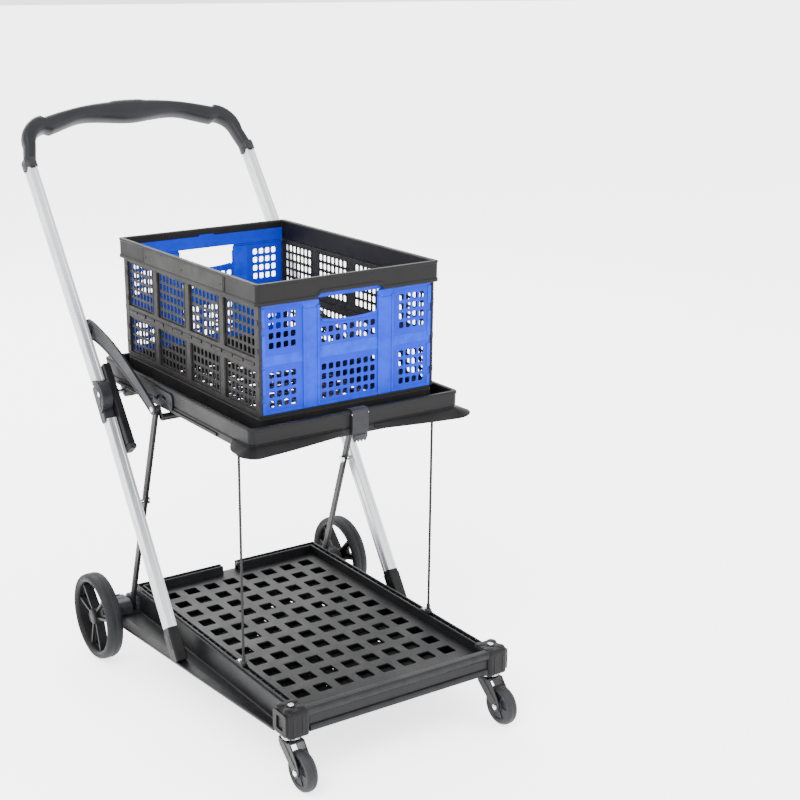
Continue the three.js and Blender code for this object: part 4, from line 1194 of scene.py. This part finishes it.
def rearRim(mesh):
    size = wheelSizes
    low, high = span("rear_tyre_right")
    cx, half, radius = (low.x + high.x) / 2, (high.x - low.x) / 2, (high.z - low.z) / 2
    cz = low.z + radius
    edge = radius - 9.3
    inner = edge - size["rimDepth"]
    profile = [(edge, -half + 1.4), (edge - 2, -half + 0.6), (edge - 3.4, -half + 1.4),
               (inner + 1.6, -half + 3),
               (inner, -half + 6), (inner - 0.8, 0), (inner, half - 6), (inner + 1.6, half - 3),
               (edge - 3.4, half - 1.4),
               (edge - 2, half - 0.6), (edge, half - 1.4)]
    turned(mesh, "x", (cx, 0, cz), profile, 96, closed=True)
    hub = size["hub"]
    turned(mesh, "x", (cx, 0, cz), [(5.8, -half + 0.4), (hub - 3, -half + 0.4), (hub - 1, -half + 1.4),
                                    (hub, -half + 4),
                                    (hub, half - 6), (hub - 1, half - 3.4), (hub - 3, half - 2.4),
                                    (5.8, half - 2.4)],
           40, closed=True)
    for i in range(size["spokes"]):
        middle = -math.pi / 2 + i * 2 * math.pi / size["spokes"]
        ends = []
        for turn in (-size["spread"], size["spread"]):
            root = (math.cos(middle + turn * 1.5) * hub * 0.8, math.sin(middle + turn * 1.5) * hub * 0.8)
            tip = (math.cos(middle + turn) * (inner + 2), math.sin(middle + turn) * (inner + 2))
            ends.append((root, tip))
            wide = 2.1
            way = Vector((tip[0] - root[0], tip[1] - root[1])).normalized()
            off = Vector((-way[1], way[0])) * wide
            outline = [(root[0] + off.x, cz + root[1] + off.y),
                       (tip[0] + off.x * 1.5, cz + tip[1] + off.y * 1.5),
                       (tip[0] - off.x * 1.5, cz + tip[1] - off.y * 1.5),
                       (root[0] - off.x, cz + root[1] - off.y)]
            prism(mesh, "x", outline, cx - size["ribHalf"], cx + size["ribHalf"])
        (r0, t0), (r1, t1) = ends
        web = [(r0[0], cz + r0[1]), (t0[0], cz + t0[1])]
        for k in range(1, 6):
            a = middle - size["spread"] + 2 * size["spread"] * k / 6
            web.append((math.cos(a) * (inner + 2), cz + math.sin(a) * (inner + 2)))
        web += [(t1[0], cz + t1[1]), (r1[0], cz + r1[1])]
        # an open triangle in each spoke, closed by a thin web near the hub
        hole = []
        for share, turn in ((0.42, 0.34), (0.93, 0.72), (0.93, -0.72), (0.42, -0.34)):
            r = hub + (inner - hub) * share
            a = middle + turn * size["spread"]
            hole.append((math.cos(a) * r, cz + math.sin(a) * r))
        plateWithHoles(mesh, "x", web, [hole], cx - size["webHalf"], cx + size["webHalf"])


def hubCap(mesh):
    low, high = span("rear_tyre_right")
    cx, half = (low.x + high.x) / 2, (high.x - low.x) / 2
    cz = (low.z + high.z) / 2
    out = cx + half
    turned(mesh, "x", (out, 0, cz), [(12.5, -4), (12.5, -2.6), (11.8, -1.4), (9.5, -0.8), (8.8, -1.6), (6,
                                                            -1.4),
                                     (0, -0.9)], 36)


finishPair("rearTyre", rearTyre, "wheel", tyreRubber, "rear_tyre", paired=True, bevel=0, smooth=50)
finishPair("rearRim", rearRim, "wheel", blackPlastic, "rear_rim", paired=True, bevel=0.5)
finishPair("hubCap", hubCap, "wheel", greyPlastic, None, paired=True, bevel=0, smooth=40)
print("rear wheels built")

# ---- casters ----
casterSizes = {"cheek": 2.5, "spread": 13}


def casterRace(mesh):
    low, high = span("caster_race_right")
    cx, cy, z0, z1 = (low.x + high.x) / 2, (low.y + high.y) / 2, low.z, high.z
    r = high.x - cx
    turned(mesh, "z", (cx, cy, 0), [(0, z1), (r - 1.2, z1), (r - 0.2, z1 - 0.8), (r, z1 - 2), (r - 0.6,
                                                                                               z1 - 3.4),
                                    (r - 3.4, z1 - 4.2), (r - 4, z1 - 5.2), (r - 2.4, z1 - 6),
                                    (r - 1.6, z1 - 7.2),
                                    (r - 2.2, z1 - 8.6), (r - 4.6, z0 + 0.2), (0, z0)], 48)


def casterCentre():
    low, high = span("caster_tyre_right")
    return (low.x + high.x) / 2, (low.y + high.y) / 2, (low.z + high.z) / 2, (high.z - low.z) / 2


def casterFork(mesh):
    cx, ay, az = casterCentre()[:3]
    rLow, rHigh = span("caster_race_right")
    sy = (rLow.y + rHigh.y) / 2
    topZ = span("caster_fork_right")[1].z
    cheek = [(sy + 17, topZ), (sy + 17.5, topZ - 7), (sy + 14, topZ - 16), (ay + 13, az - 1)]
    cheek += arcPoints(ay, az, 9.5, math.radians(-20), math.radians(-160), 9)
    cheek += [(ay - 10, az + 7), (ay - 4, az + 19), (sy - 21, topZ - 3), (sy - 20, topZ)]
    for s in (-1, 1):
        a = cx + s * casterSizes["spread"]
        b = a + s * casterSizes["cheek"]
        prism(mesh, "x", cheek, min(a, b), max(a, b))
        # pressed rib down each cheek
        rib = [(sy + 8, topZ - 5), (ay + 4, az + 6), (ay - 1, az + 10), (sy - 2, topZ - 5)]
        c = b + s * 0.9
        prism(mesh, "x", rib, min(b - s, c), max(b - s, c))
    half = casterSizes["spread"] + casterSizes["cheek"]
    top = roundedOutline(cx - half, cx + half, sy - 20, sy + 17, 5, 4)
    plateWithHoles(mesh, "z", top, [], topZ - 2.8, topZ)
    turned(mesh, "z", (cx, sy, topZ - 2.8), [(13, 0.4), (12.4, -2.4), (9, -3.4), (0, -3.4)], 28)


def casterBolt(mesh):
    low, high = span("caster_bolt_right")
    cx, ay, az = casterCentre()[:3]
    h = (high.x - low.x) / 2
    turned(mesh, "x", (cx, ay, az), [(0, -h), (3.8, -h + 0.2), (5.2, -h + 1.2), (5.5, -h + 2.8), (3,
                                                                                                  -h + 2.9),
                                     (3, h - 2.9), (5.5, h - 2.8), (5.2, h - 1.2), (3.8, h - 0.2), (0, h)],
           28)


def casterTyre(mesh):
    cx, ay, az, r = casterCentre()
    half = 11
    turned(mesh, "x", (cx, ay, az), [(r - 9.2, -half + 0.8), (r - 7.6, -half), (r - 5, -half + 0.5),
                                     (r - 2, -half + 3),
                                     (r - 0.4, -half + 6.4), (r, -0.6), (r - 0.4, 0), (r, 0.6),
                                     (r - 0.4, half - 6.4),
                                     (r - 2, half - 3), (r - 5, half - 0.5), (r - 7.6, half),
                                     (r - 9.2, half - 0.8)],
           64, closed=True)


def casterHub(mesh):
    cx, ay, az, r = casterCentre()
    half = 11
    edge = r - 9.3
    turned(mesh, "x", (cx, ay, az), [(3.7, -half - 0.6), (9, -half - 0.6), (10, -half + 0.4), (11,
                                                                                               -half + 3.2),
                                     (edge - 4, -half + 2.6), (edge - 2.4, -half + 0.6),
                                     (edge, -half + 0.9),
                                     (edge, half - 0.9), (edge - 2.4, half - 0.6), (edge - 4, half - 2.6),
                                     (11, half - 3.2), (10, half - 0.4), (9, half + 0.6),
                                     (3.7, half + 0.6)],
           56, closed=True)
    for k in range(6):
        a = k * math.pi / 3
        c, s = math.cos(a), math.sin(a)
        outline = [(ay + c * 9 - s * 1.2, az + s * 9 + c * 1.2),
                   (ay + c * (edge - 3) - s * 1.2, az + s * (edge - 3) + c * 1.2),
                   (ay + c * (edge - 3) + s * 1.2, az + s * (edge - 3) - c * 1.2),
                   (ay + c * 9 + s * 1.2, az + s * 9 - c * 1.2)]
        prism(mesh, "x", outline, cx - half + 1.2, cx + half - 1.2)


finishPair("casterRace", casterRace, "base", brightSteel, "caster_race", bevel=0, smooth=35)
finishPair("casterFork", casterFork, "caster", blackSteel, "caster_fork", paired=True, bevel=0.7)
finishPair("casterBolt", casterBolt, "caster", brightSteel, "caster_bolt", paired=True, bevel=0, smooth=40)
finishPair("casterTyre", casterTyre, "caster_wheel", casterRubber, "caster_tyre", paired=True, bevel=0,
           smooth=50)
finishPair("casterHub", casterHub, "caster_wheel", greyPlastic, "caster_hub", paired=True, bevel=0.3)
print("casters built")

# ---- struts, cross bar and scissor pins ----
strutFoot = jointAt("fold")
strutTop = jointAt("arm_swing")
crossing = jointAt("leg_scissor")
hinge = jointAt("handle_fold")
strutSizes = {"deep": 13, "barRadius": 7, "barBack": 9, "barDrop": 15.6}


def strut(mesh):
    low = span("strut_right")[0]
    xIn, xOut = baseHigh.x + 13, baseHigh.x + 20
    flatLink(mesh, strutFoot, strutTop, strutSizes["deep"], xIn, xOut)
    # a long pressed rib on the outside
    way = Vector((strutTop[0] - strutFoot[0], strutTop[1] - strutFoot[1])).normalized()
    for a, b in ((24, 0.43), (0.57, -24)):
        length = math.dist(strutFoot, strutTop)
        start = a if a > 1 else a * length
        end = b * length if b > 0 else length + b
        p = (strutFoot[0] + way[0] * start, strutFoot[1] + way[1] * start)
        q = (strutFoot[0] + way[0] * end, strutFoot[1] + way[1] * end)
        flatLink(mesh, p, q, 4.4, xOut - 1, xOut + 0.5, 5)
    turned(mesh, "x", (low.x, strutFoot[0], strutFoot[1]),
           [(4, 0), (4, xIn - low.x + 1), (0, xIn - low.x + 1)], 20)


def strutPin(mesh):
    xOut = baseHigh.x + 26.5
    turned(mesh, "x", (xOut, strutTop[0], strutTop[1]),
           [(4, -6.2), (4, 0.1), (5.6, 0.3), (5.4, 1.2), (4.2, 2.0), (0, 2.2)], 28)


def scissorPin(mesh):
    low, high = span("scissor_pin_right")
    length = high.x - low.x
    turned(mesh, "x", (low.x, crossing[0], crossing[1]),
           [(0, 0), (6, 0.2), (7.3, 1.4), (7.5, 5.4), (4, 5.6), (4, length),
                                                          (0, length)], 28)


def crossBar(size):
    mesh = bmesh.new()
    x1 = baseHigh.x + 12.7
    by, bz = strutTop[0] - size["barBack"], strutTop[1] - size["barDrop"]
    turned(mesh, "x", (0, by, bz), [(0, -x1), (5.4, -x1), (size["barRadius"], -x1 + 1.6),
                                    (size["barRadius"], x1 - 1.6),
                                    (5.4, x1), (0, x1)], 28)
    for s in (-1, 1):
        a, b = s * (x1 - 3), s * x1
        flatLink(mesh, strutTop, (by, bz), 12, min(a, b), max(a, b), 8)
        turned(mesh, "x", (s * (x1 - 3), strutTop[0], strutTop[1]),
               [(4.8, s * 0.4), (4.8, -s * 0.8), (3.4, -s * 2), (0, -s * 2.2)], 20)
    return finishPiece("strutCrossBar", mesh, "struts", blackSteel, ["strut_cross_bar"], bevel=0.5)


finishPair("strut", strut, "struts", blackSteel, "strut", bevel=0.8)
finishPair("strutPin", strutPin, "struts", brightSteel, None, bevel=0, smooth=40)
finishPair("scissorPin", scissorPin, "struts", brightSteel, "scissor_pin", bevel=0, smooth=40)
crossBar(strutSizes)
print("struts built")

# ---- legs ----
legSizes = {"foot": (-273, 117.5), "knee": (7, 547.5), "lean": 53.4, "capLong": 40, "stub": 52, "wide": 20,
            "deep": 26}
footAt, kneeAt = Vector(legSizes["foot"]), Vector(legSizes["knee"])
legLength = (kneeAt - footAt).length
legWay = (kneeAt - footAt) / legLength
handleWay = Vector((math.cos(math.radians(legSizes["lean"])), math.sin(math.radians(legSizes["lean"]))))
tubeX = baseHigh.x + 40


# Stations of a straight bar in the side view: origin x and (y, z) way, at each distance, with its own section.
def barStations(x, start, way, cuts):
    return [((x, start[0] + way[0] * s, start[1] + way[1] * s), (1, 0, 0), (0, -way[1], way[0]), section)
            for s, section in cuts]


def tubeSection(wide, deep):
    w, d = wide / 2, deep / 2
    return [(-w, -d + 1.2), (-w + 1.2, -d), (-3.4, -d), (-2.8, -d + 0.7), (2.8, -d + 0.7), (3.4, -d),
            (w - 1.2, -d),
            (w, -d + 1.2), (w, -3.6), (w - 1.1, -3), (w - 1.1, 3), (w, 3.6), (w, d - 1.2), (w - 1.2, d),
            (3.4, d),
            (2.8, d - 0.7), (-2.8, d - 0.7), (-3.4, d), (-w + 1.2, d), (-w, d - 1.2), (-w, 3.6),
            (-w + 1.1, 3),
            (-w + 1.1, -3), (-w, -3.6)]


def legTube(mesh):
    section = tubeSection(legSizes["wide"], legSizes["deep"])
    loft(mesh, barStations(tubeX, footAt, legWay, [(legSizes["capLong"] - 6, section),
                                                  (legLength - legSizes["stub"] + 4, section)]))
    for share in (0.34, 0.5, 0.78):
        p = footAt + legWay * legLength * share
        turned(mesh, "x", (tubeX + 9, p[0], p[1]), [(1.9, -0.6), (1.9, 0.4), (1.2, 0.9), (0, 1.0)], 14)


def footCap(mesh):
    low = span("foot_cap_right")[0]
    w, d = legSizes["wide"] / 2 + 2, legSizes["deep"] / 2 + 2
    big = [(-w, -d + 2.4), (-w + 2.4, -d), (w - 2.4, -d), (w, -d + 2.4), (w, d - 2.4), (w - 2.4, d),
           (-w + 2.4, d),
           (-w, d - 2.4)]
    small = [(a * 0.9, b * 0.93) for a, b in big]
    stations = barStations(tubeX, footAt, legWay,
                           [(-26, big), (31, big), (34, small), (legSizes["capLong"], small)])
    loft(mesh, stations)
    geometry = list(mesh.verts) + list(mesh.edges) + list(mesh.faces)
    bmesh.ops.bisect_plane(mesh, geom=geometry, plane_co=(0, 0, low.z), plane_no=(0, 0, 1),
                           clear_inner=True)
    rims = [e for e in mesh.edges if e.is_boundary]
    bmesh.ops.holes_fill(mesh, edges=rims)
    for s in (-1, 1):
        x = tubeX + s * (w - 0.2)
        rib = [(footAt[0] + legWay[0] * a - legWay[1] * b, footAt[1] + legWay[1] * a + legWay[0] * b)
               for a, b in ((-2, -7), (26, -7), (26, 7), (-2, 7))]
        prism(mesh, "x", rib, min(x, x + s * 0.9), max(x, x + s * 0.9))


def knuckle(mesh):
    low = -legSizes["deep"] / 2 - 1
    high = legSizes["deep"] / 2 - 4
    start = legLength - legSizes["stub"] + 0.5
    w = legSizes["wide"] / 2
    section = [(-w, low + 2), (-w + 2, low), (w + 1, low), (w + 3, low + 2), (w + 3, high - 2),
               (w + 1, high),
               (-w + 2, high), (-w, high - 2)]
    slim = [(a * 0.94, b * 0.9 - 1) for a, b in section]
    loft(mesh, barStations(tubeX, footAt, legWay, [(start, slim), (start + 5, section), (legLength + 16,
                                                                                         section),
                                                  (legLength + 24, slim)]))
    angle = math.atan2(legWay[1], legWay[0])
    a0, a1 = angle + 0.08, angle + math.pi - 0.08
    face = tubeX + w + 0.6
    cy, cz = kneeAt
    prism(mesh, "x", arcPoints(cy, cz, 34, a0, a1, 28), face, face + 4.2)
    for r0, r1, proud in ((31.2, 34, 5.4), (24.4, 27.6, 5.0), (17.6, 20.6, 5.0)):
        ring = arcPoints(cy, cz, r1, a0, a1, 26) + arcPoints(cy, cz, r0, a1, a0, 26)
        plateWithHoles(mesh, "x", ring, [], face + 3.4, face + proud)
    # rounded front of the bulge over the tube
    loftRing = []
    for k in range(9):
        share = k / 8
        x = face - 18 + 18 * share
        r = 30 + 3.6 * math.sin(share * math.pi / 2)
        loftRing.append((x, r))
    for (xa, ra), (xb, rb) in zip(loftRing, loftRing[1:]):
        prism(mesh, "x", arcPoints(cy, cz, (ra + rb) / 2, a0 + 0.5, a1 - 0.35, 20), xa, xb + 0.05)
    turned(mesh, "x", (face + 4.2, hinge[0], hinge[1]),
           [(9, -2), (9, 0.9), (8.2, 1.5), (6.2, 1.5), (6, 0.6), (0, 0.6)], 28)


def knucklePin(mesh):
    low, high = span("knuckle_pin_right")
    turned(mesh, "x", (high.x, hinge[0], hinge[1]),
           [(4, low.x - high.x), (4, -0.4), (5.4, 0.0), (5.2, 0.9), (3.8, 1.5),
                                                    (0, 1.7)], 28)


finishPair("legTube", legTube, "legs", drawnAluminium, "leg_tube", bevel=0.3)
finishPair("footCap", footCap, "legs", blackPlastic, "foot_cap", bevel=0.7)
finishPair("knuckle", knuckle, "legs", greyPlastic, "knuckle", bevel=0.5)
finishPair("knucklePin", knucklePin, "legs", brightSteel, "knuckle_pin", bevel=0, smooth=40)
print("legs built")

# ---- handle ----
handleSizes = {"tubeStart": 31, "tubeEnd": 507, "channelLow": -110, "channelHigh": 60, "gripRise": 147,
               "arch": 32,
               "shoulder": 194, "cornerRadius": 50, "sleeve": 13, "halfThick": 19}


def handleTube(mesh):
    section = tubeSection(legSizes["wide"], legSizes["deep"])
    loft(mesh, barStations(tubeX, kneeAt, handleWay, [(handleSizes["tubeStart"], section),
                                                     (handleSizes["tubeEnd"] + handleSizes["sleeve"],
                                                      section)]))
    for s in (120, 260, 452):
        p = kneeAt + handleWay * s
        turned(mesh, "x", (tubeX + 9, p[0], p[1]), [(1.8, -0.6), (1.8, 0.4), (1.1, 0.9), (0, 1.0)], 14)


def handleChannel(mesh):
    low, high = span("handle_channel_right")
    wide = high.x - low.x
    back, front = -8, 24
    a, b = -wide / 2, wide / 2
    section = [(a, back + 1.5), (a + 1.5, back), (b - 1, back), (b, back + 1), (b, front - 1),
               (b - 1, front),
               (a + 1.5, front), (a, front - 1.5), (a, front - 6), (a + 1.6, front - 7),
               (a + 1.6, front - 9.4),
               (a, front - 10.4), (a, back + 10.4), (a + 1.6, back + 9.4), (a + 1.6, back + 7),
               (a, back + 6)]
    slim = [(u * 0.9, (v - 8) * 0.94 + 8) for u, v in section]
    x = (low.x + high.x) / 2
    loft(mesh, barStations(x, kneeAt, handleWay, [(handleSizes["channelLow"], section),
                                                  (handleSizes["channelHigh"] - 6, section),
                                                 (handleSizes["channelHigh"], slim)]))


def standFoot(mesh):
    low, high = span("stand_foot_right")
    wide = (high.x - low.x) / 2
    section = [(-wide, -7), (-wide + 2, -9), (wide - 2, -9), (wide, -7), (wide, 23), (wide - 2, 25),
               (-wide + 2, 25), (-wide, 23)]
    slim = [(u * 0.86, (v - 8) * 0.9 + 8) for u, v in section]
    x = (low.x + high.x) / 2
    loft(mesh, barStations(x, kneeAt, handleWay, [(-122, slim), (-119, section), (-114, section), (-110.3,
                                                                                                   slim)]))


# Grip section: rounded, with a seam groove on its two faces.
def gripSection(halfWide, halfThick, seam=0.9):
    points = []
    for k in range(32):
        a = 2 * math.pi * k / 32
        c, s = math.cos(a), math.sin(a)
        u = halfWide * math.copysign(abs(c) ** 0.72, c)
        v = halfThick * math.copysign(abs(s) ** 0.72, s)
        if k in (8, 24):
            v -= math.copysign(seam, v)
        points.append((u, v))
    return points


def grip(size):
    mesh = bmesh.new()
    end = size["tubeEnd"] + size["sleeve"]
    top = size["tubeEnd"] + size["gripRise"]
    normal = Vector((0, -handleWay[1], handleWay[0]))
    base = Vector((0, kneeAt[0], kneeAt[1]))
    along = Vector((0, handleWay[0], handleWay[1]))
    stations = []

    def station(x, s, dx, ds, halfWide, halfThick):
        across = (Vector((1, 0, 0)) * dx + along * ds).normalized()
        origin = base + Vector((x, 0, 0)) + along * s
        stations.append((origin, across, normal, gripSection(halfWide, halfThick)))

    topAt = lambda x: top - size["arch"] * (x / 208) ** 2
    shoulder, r = size["shoulder"], size["cornerRadius"]
    cornerTop = topAt(shoulder) - 13
    legs = []
    for s, wide, thick in ((end - 12, 10.9, 13.9), (end - 1, 11.4, 14.4), (end + 1, 12.4, 15.4),
                           (end + 24, 12.8, 15.8),
                           (cornerTop - r, 13.0, 16)):
        legs.append((s, wide, thick))
    inward = tubeX - shoulder - r
    for s, wide, thick in legs:
        share = max(s - end, 0) / (cornerTop - r - end)
        station(tubeX - inward * share, s, 1, 0, wide, thick)
    for k in range(1, 9):
        a = math.pi / 2 * k / 9
        station(shoulder + r * math.cos(a), cornerTop - r + r * math.sin(a), math.cos(a), math.sin(a),
                13.0 + 5.5 * math.sin(a), 16 + 3.0 * math.sin(a))
    half = []
    for k in range(25):
        x = shoulder - shoulder * k / 24
        high = 37 + 11 * math.exp(-(x / 58) ** 2) - 6 * math.exp(-((x - 118) / 42) ** 2)
        lift = 2.4 / (1 + math.exp((x - 34) / 1.2))
        upper = topAt(x) + lift
        slope = 2 * size["arch"] * x / 208 ** 2
        half.append((x, upper - (high + lift) / 2, slope, (high + lift) / 2))
    for x, s, slope, wide in half:
        station(x, s, math.sin(math.atan(slope)), math.cos(math.atan(slope)), wide, size["halfThick"])
    mirrored = [((-o[0], o[1], o[2]), (-a[0], a[1], a[2]), n, sec) for o, a, n,
                sec in reversed(stations[:-1])]
    loft(mesh, stations + mirrored)
    # small notch plate on the raised tab
    p = base + along * (top + 1.2)
    for s in (-1, 1):
        q = p + Vector((s * 17, 0, 0))
        turned(mesh, "x", (q[0] - 4, q[1], q[2] - 1.2),
               [(3.2, 0), (3.8, 1), (3.8, 7), (3.2, 8)], 14)
    # stepped collars where the tubes go in
    for s in (-1, 1):
        w, d = 12.6, 15.7
        collar = [(-w, -d + 4), (-w + 4, -d), (w - 4, -d), (w, -d + 4), (w, d - 4), (w - 4, d),
                  (-w + 4, d), (-w, d - 4)]
        slim = [(a * 0.94, b * 0.95) for a, b in collar]
        loft(mesh, barStations(s * tubeX, kneeAt, handleWay, [(end - 9, slim), (end - 7.5, collar),
                                                              (end + 9, collar),
                                                             (end + 13, slim)]))
    return finishPiece("handleGrip", mesh, "handle", gripPlastic, ["handle_grip"], bevel=0, smooth=40)


finishPair("handleTube", handleTube, "handle", drawnAluminium, "handle_tube", bevel=0.3)
finishPair("handleChannel", handleChannel, "handle", blackPlastic, "handle_channel", bevel=0.4)
finishPair("standFoot", standFoot, "handle", tyreRubber, "stand_foot", bevel=0.8)
grip(handleSizes)
print("handle built")

# ---- arms ----
armSizes = {"reach": 143, "border": 3.4, "proud": 1.1}


def armOutline(inset):
    pin = kneeAt + handleWay * armSizes["reach"]
    start = Vector(strutTop)
    control = Vector((start[0] * 0.35 + pin[0] * 0.65, max(start[1], pin[1]) + 2))
    upper, lower = [], []
    count = 18
    for k in range(count + 1):
        t = k / count
        p = start * (1 - t) ** 2 + control * 2 * t * (1 - t) + pin * t * t
        d = ((control - start) * (1 - t) + (pin - control) * t).normalized()
        n = Vector((-d[1], d[0]))
        wide = 11 + 5.5 * math.sin(min(t * 1.4, 1) * math.pi / 2) + 6 * max(0, t - 0.72) / 0.28
        drop = 11 + 5.5 * math.sin(min(t * 1.4, 1) * math.pi / 2)
        upper.append(p + n * (wide - inset))
        lower.append(p - n * (drop - inset))
    first = ((control - start)).normalized()
    last = ((pin - control)).normalized()
    back = math.atan2(first[1], first[0])
    outline = [tuple(p) for p in upper]
    tipAngle = math.atan2(last[1], last[0])
    radius = (upper[-1] - lower[-1]).length / 2
    mid = (upper[-1] + lower[-1]) / 2
    outline += arcPoints(mid[0], mid[1], radius, tipAngle + math.pi / 2, tipAngle - math.pi / 2, 10)[1:-1]
    outline += [tuple(p) for p in reversed(lower)]
    outline += arcPoints(start[0], start[1], 11 - inset, back - math.pi / 2, back - 1.5 * math.pi, 10)[1:-1]
    return outline


def arm(mesh):
    low, high = span("arm_right")
    outer, inner = armOutline(0), armOutline(armSizes["border"])
    plateWithHoles(mesh, "x", outer, [], low.x + 0.4, high.x - 0.9)
    plateWithHoles(mesh, "x", outer, [inner], low.x, high.x)
    pin = kneeAt + handleWay * armSizes["reach"]
    turned(mesh, "x", (high.x - 1, pin[0], pin[1]),
           [(11, 0), (11, 0.9), (10, 1.3), (6.4, 1.3), (6.2, 0.5), (0, 0.5)], 28)
    turned(mesh, "x", (high.x - 1, strutTop[0], strutTop[1]),
           [(9, 0), (9, 0.8), (8.2, 1.2), (5.9, 1.2), (5.7, 0.2), (4.6, 0.2)], 28)


finishPair("arm", arm, "arms", greyPlastic, "arm", bevel=0.4)
print("arms built")


def rope(mesh):
    low, high = span("rope_right")
    cx, cy = (low.x + high.x) / 2, (low.y + high.y) / 2
    r = (high.x - low.x) / 2
    steps = 24
    rod(mesh, [(cx, cy, low.z + (high.z - low.z) * k / steps) for k in range(steps + 1)], r, 12)
    turned(mesh, "z", (cx, cy, low.z), [(0, 0), (r + 1.2, 0), (r + 1.5, 2), (r + 1.2, 8), (r, 9)], 16)


def ropeClip(mesh):
    low, high = span("rope_clip_right")
    rLow, rHigh = span("rope_right")
    cx, cy = (rLow.x + rHigh.x) / 2, (rLow.y + rHigh.y) / 2
    z0 = low.z
    plate = roundedOutline(low.x, high.x, low.y, high.y, 5, 5)
    plateWithHoles(mesh, "z", plate, [], z0, z0 + 2.4)
    turned(mesh, "z", (cx, cy, z0), [(6.2, 2), (6.4, 4), (5.4, 7), (3.6, 8.4), (0, 8.7)], 24)


def clipScrew(mesh):
    low = span("rope_clip_right")[0]
    rLow, rHigh = span("rope_right")
    cx, cy = (rLow.x + rHigh.x) / 2, (rLow.y + rHigh.y) / 2 + 13
    turned(mesh, "z", (cx, cy, low.z + 2.2), [(4, -0.4), (4, 1), (3.2, 2), (1.2, 2.3), (1, 1.6), (0, 1.6)],
           20)


def ropeAnchor(mesh):
    rLow, rHigh = span("rope_right")
    cx, cy = (rLow.x + rHigh.x) / 2, (rLow.y + rHigh.y) / 2
    turned(mesh, "z", (cx, cy, rHigh.z), [(3.4, -9), (4.6, -8), (5.2, -2), (6.6, 0.2), (0, 0.4)], 24)


for side, flipped in (("right", False), ("left", True)):
    mesh = bmesh.new()
    rope(mesh)
    made = finishPiece("rope_" + side, mesh, "base", twistedCord, ["rope_" + side], bevel=0, mirror=flipped)
    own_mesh(made)
finishPair("ropeClip", ropeClip, "base", blackSteel, "rope_clip", bevel=0.4)
finishPair("clipScrew", clipScrew, "base", brightSteel, None, bevel=0, smooth=40)
finishPair("ropeAnchor", ropeAnchor, "tray", blackPlastic, None, bevel=0, smooth=40)
print("ropes built")

# ---- floor and light ----
stageSizes = {"floor": 60.0, "key": 230, "fill": 70, "back": 150, "glow": 2.2, "world": 2.6}


def makeFloor(size):
    mesh = bmesh.new()
    bmesh.ops.create_grid(mesh, x_segments=2, y_segments=2, size=size["floor"])
    data = bpy.data.meshes.new("floor")
    mesh.to_mesh(data)
    mesh.free()
    floor = bpy.data.objects.new("floor", data)
    bpy.context.scene.collection.objects.link(floor)
    made, tree, shader = startMaterial("paleFloor")
    where = addNode(tree, "ShaderNodeTexCoord").outputs["Object"]
    noise = addNode(tree, "ShaderNodeTexNoise", [("Vector", where), ("Scale", 1.5), ("Detail", 3.0)])
    tone = mixColour(tree, noise.outputs["Fac"], colour("f7f7f6"), colour("fbfbfa"))
    tree.links.new(tone, shader.inputs["Base Color"])
    shader.inputs["Roughness"].default_value = 0.75
    shader.inputs["Specular IOR Level"].default_value = 0.2
    shader.inputs["Emission Color"].default_value = (1.0, 1.0, 1.0, 1.0)
    shader.inputs["Emission Strength"].default_value = size["glow"]
    data.materials.append(made)


def makeLight(name, place, aim, width, height, power):
    data = bpy.data.lights.new(name, "AREA")
    data.shape = "RECTANGLE"
    data.size, data.size_y = width, height
    data.energy = power
    lamp = bpy.data.objects.new(name, data)
    bpy.context.scene.collection.objects.link(lamp)
    lamp.location = place
    lamp.rotation_mode = "QUATERNION"
    lamp.rotation_quaternion = (Vector(aim) - Vector(place)).to_track_quat("-Z", "Y")


makeFloor(stageSizes)
makeLight("key", (-2.6, -1.8, 3.6), (0, 0, 0.5), 2.4, 2.4, stageSizes["key"])
makeLight("fill", (3.2, -2.6, 2.0), (0, 0, 0.5), 3.0, 2.4, stageSizes["fill"])
makeLight("back", (0.6, 3.4, 3.0), (0, 0, 0.6), 3.0, 2.0, stageSizes["back"])
world = bpy.data.worlds.new("softWhite")
bpy.context.scene.world = world
world.use_nodes = True
world.node_tree.nodes["Background"].inputs["Color"].default_value = (1.0, 1.0, 1.0, 1.0)
world.node_tree.nodes["Background"].inputs["Strength"].default_value = stageSizes["world"]
print("stage set")
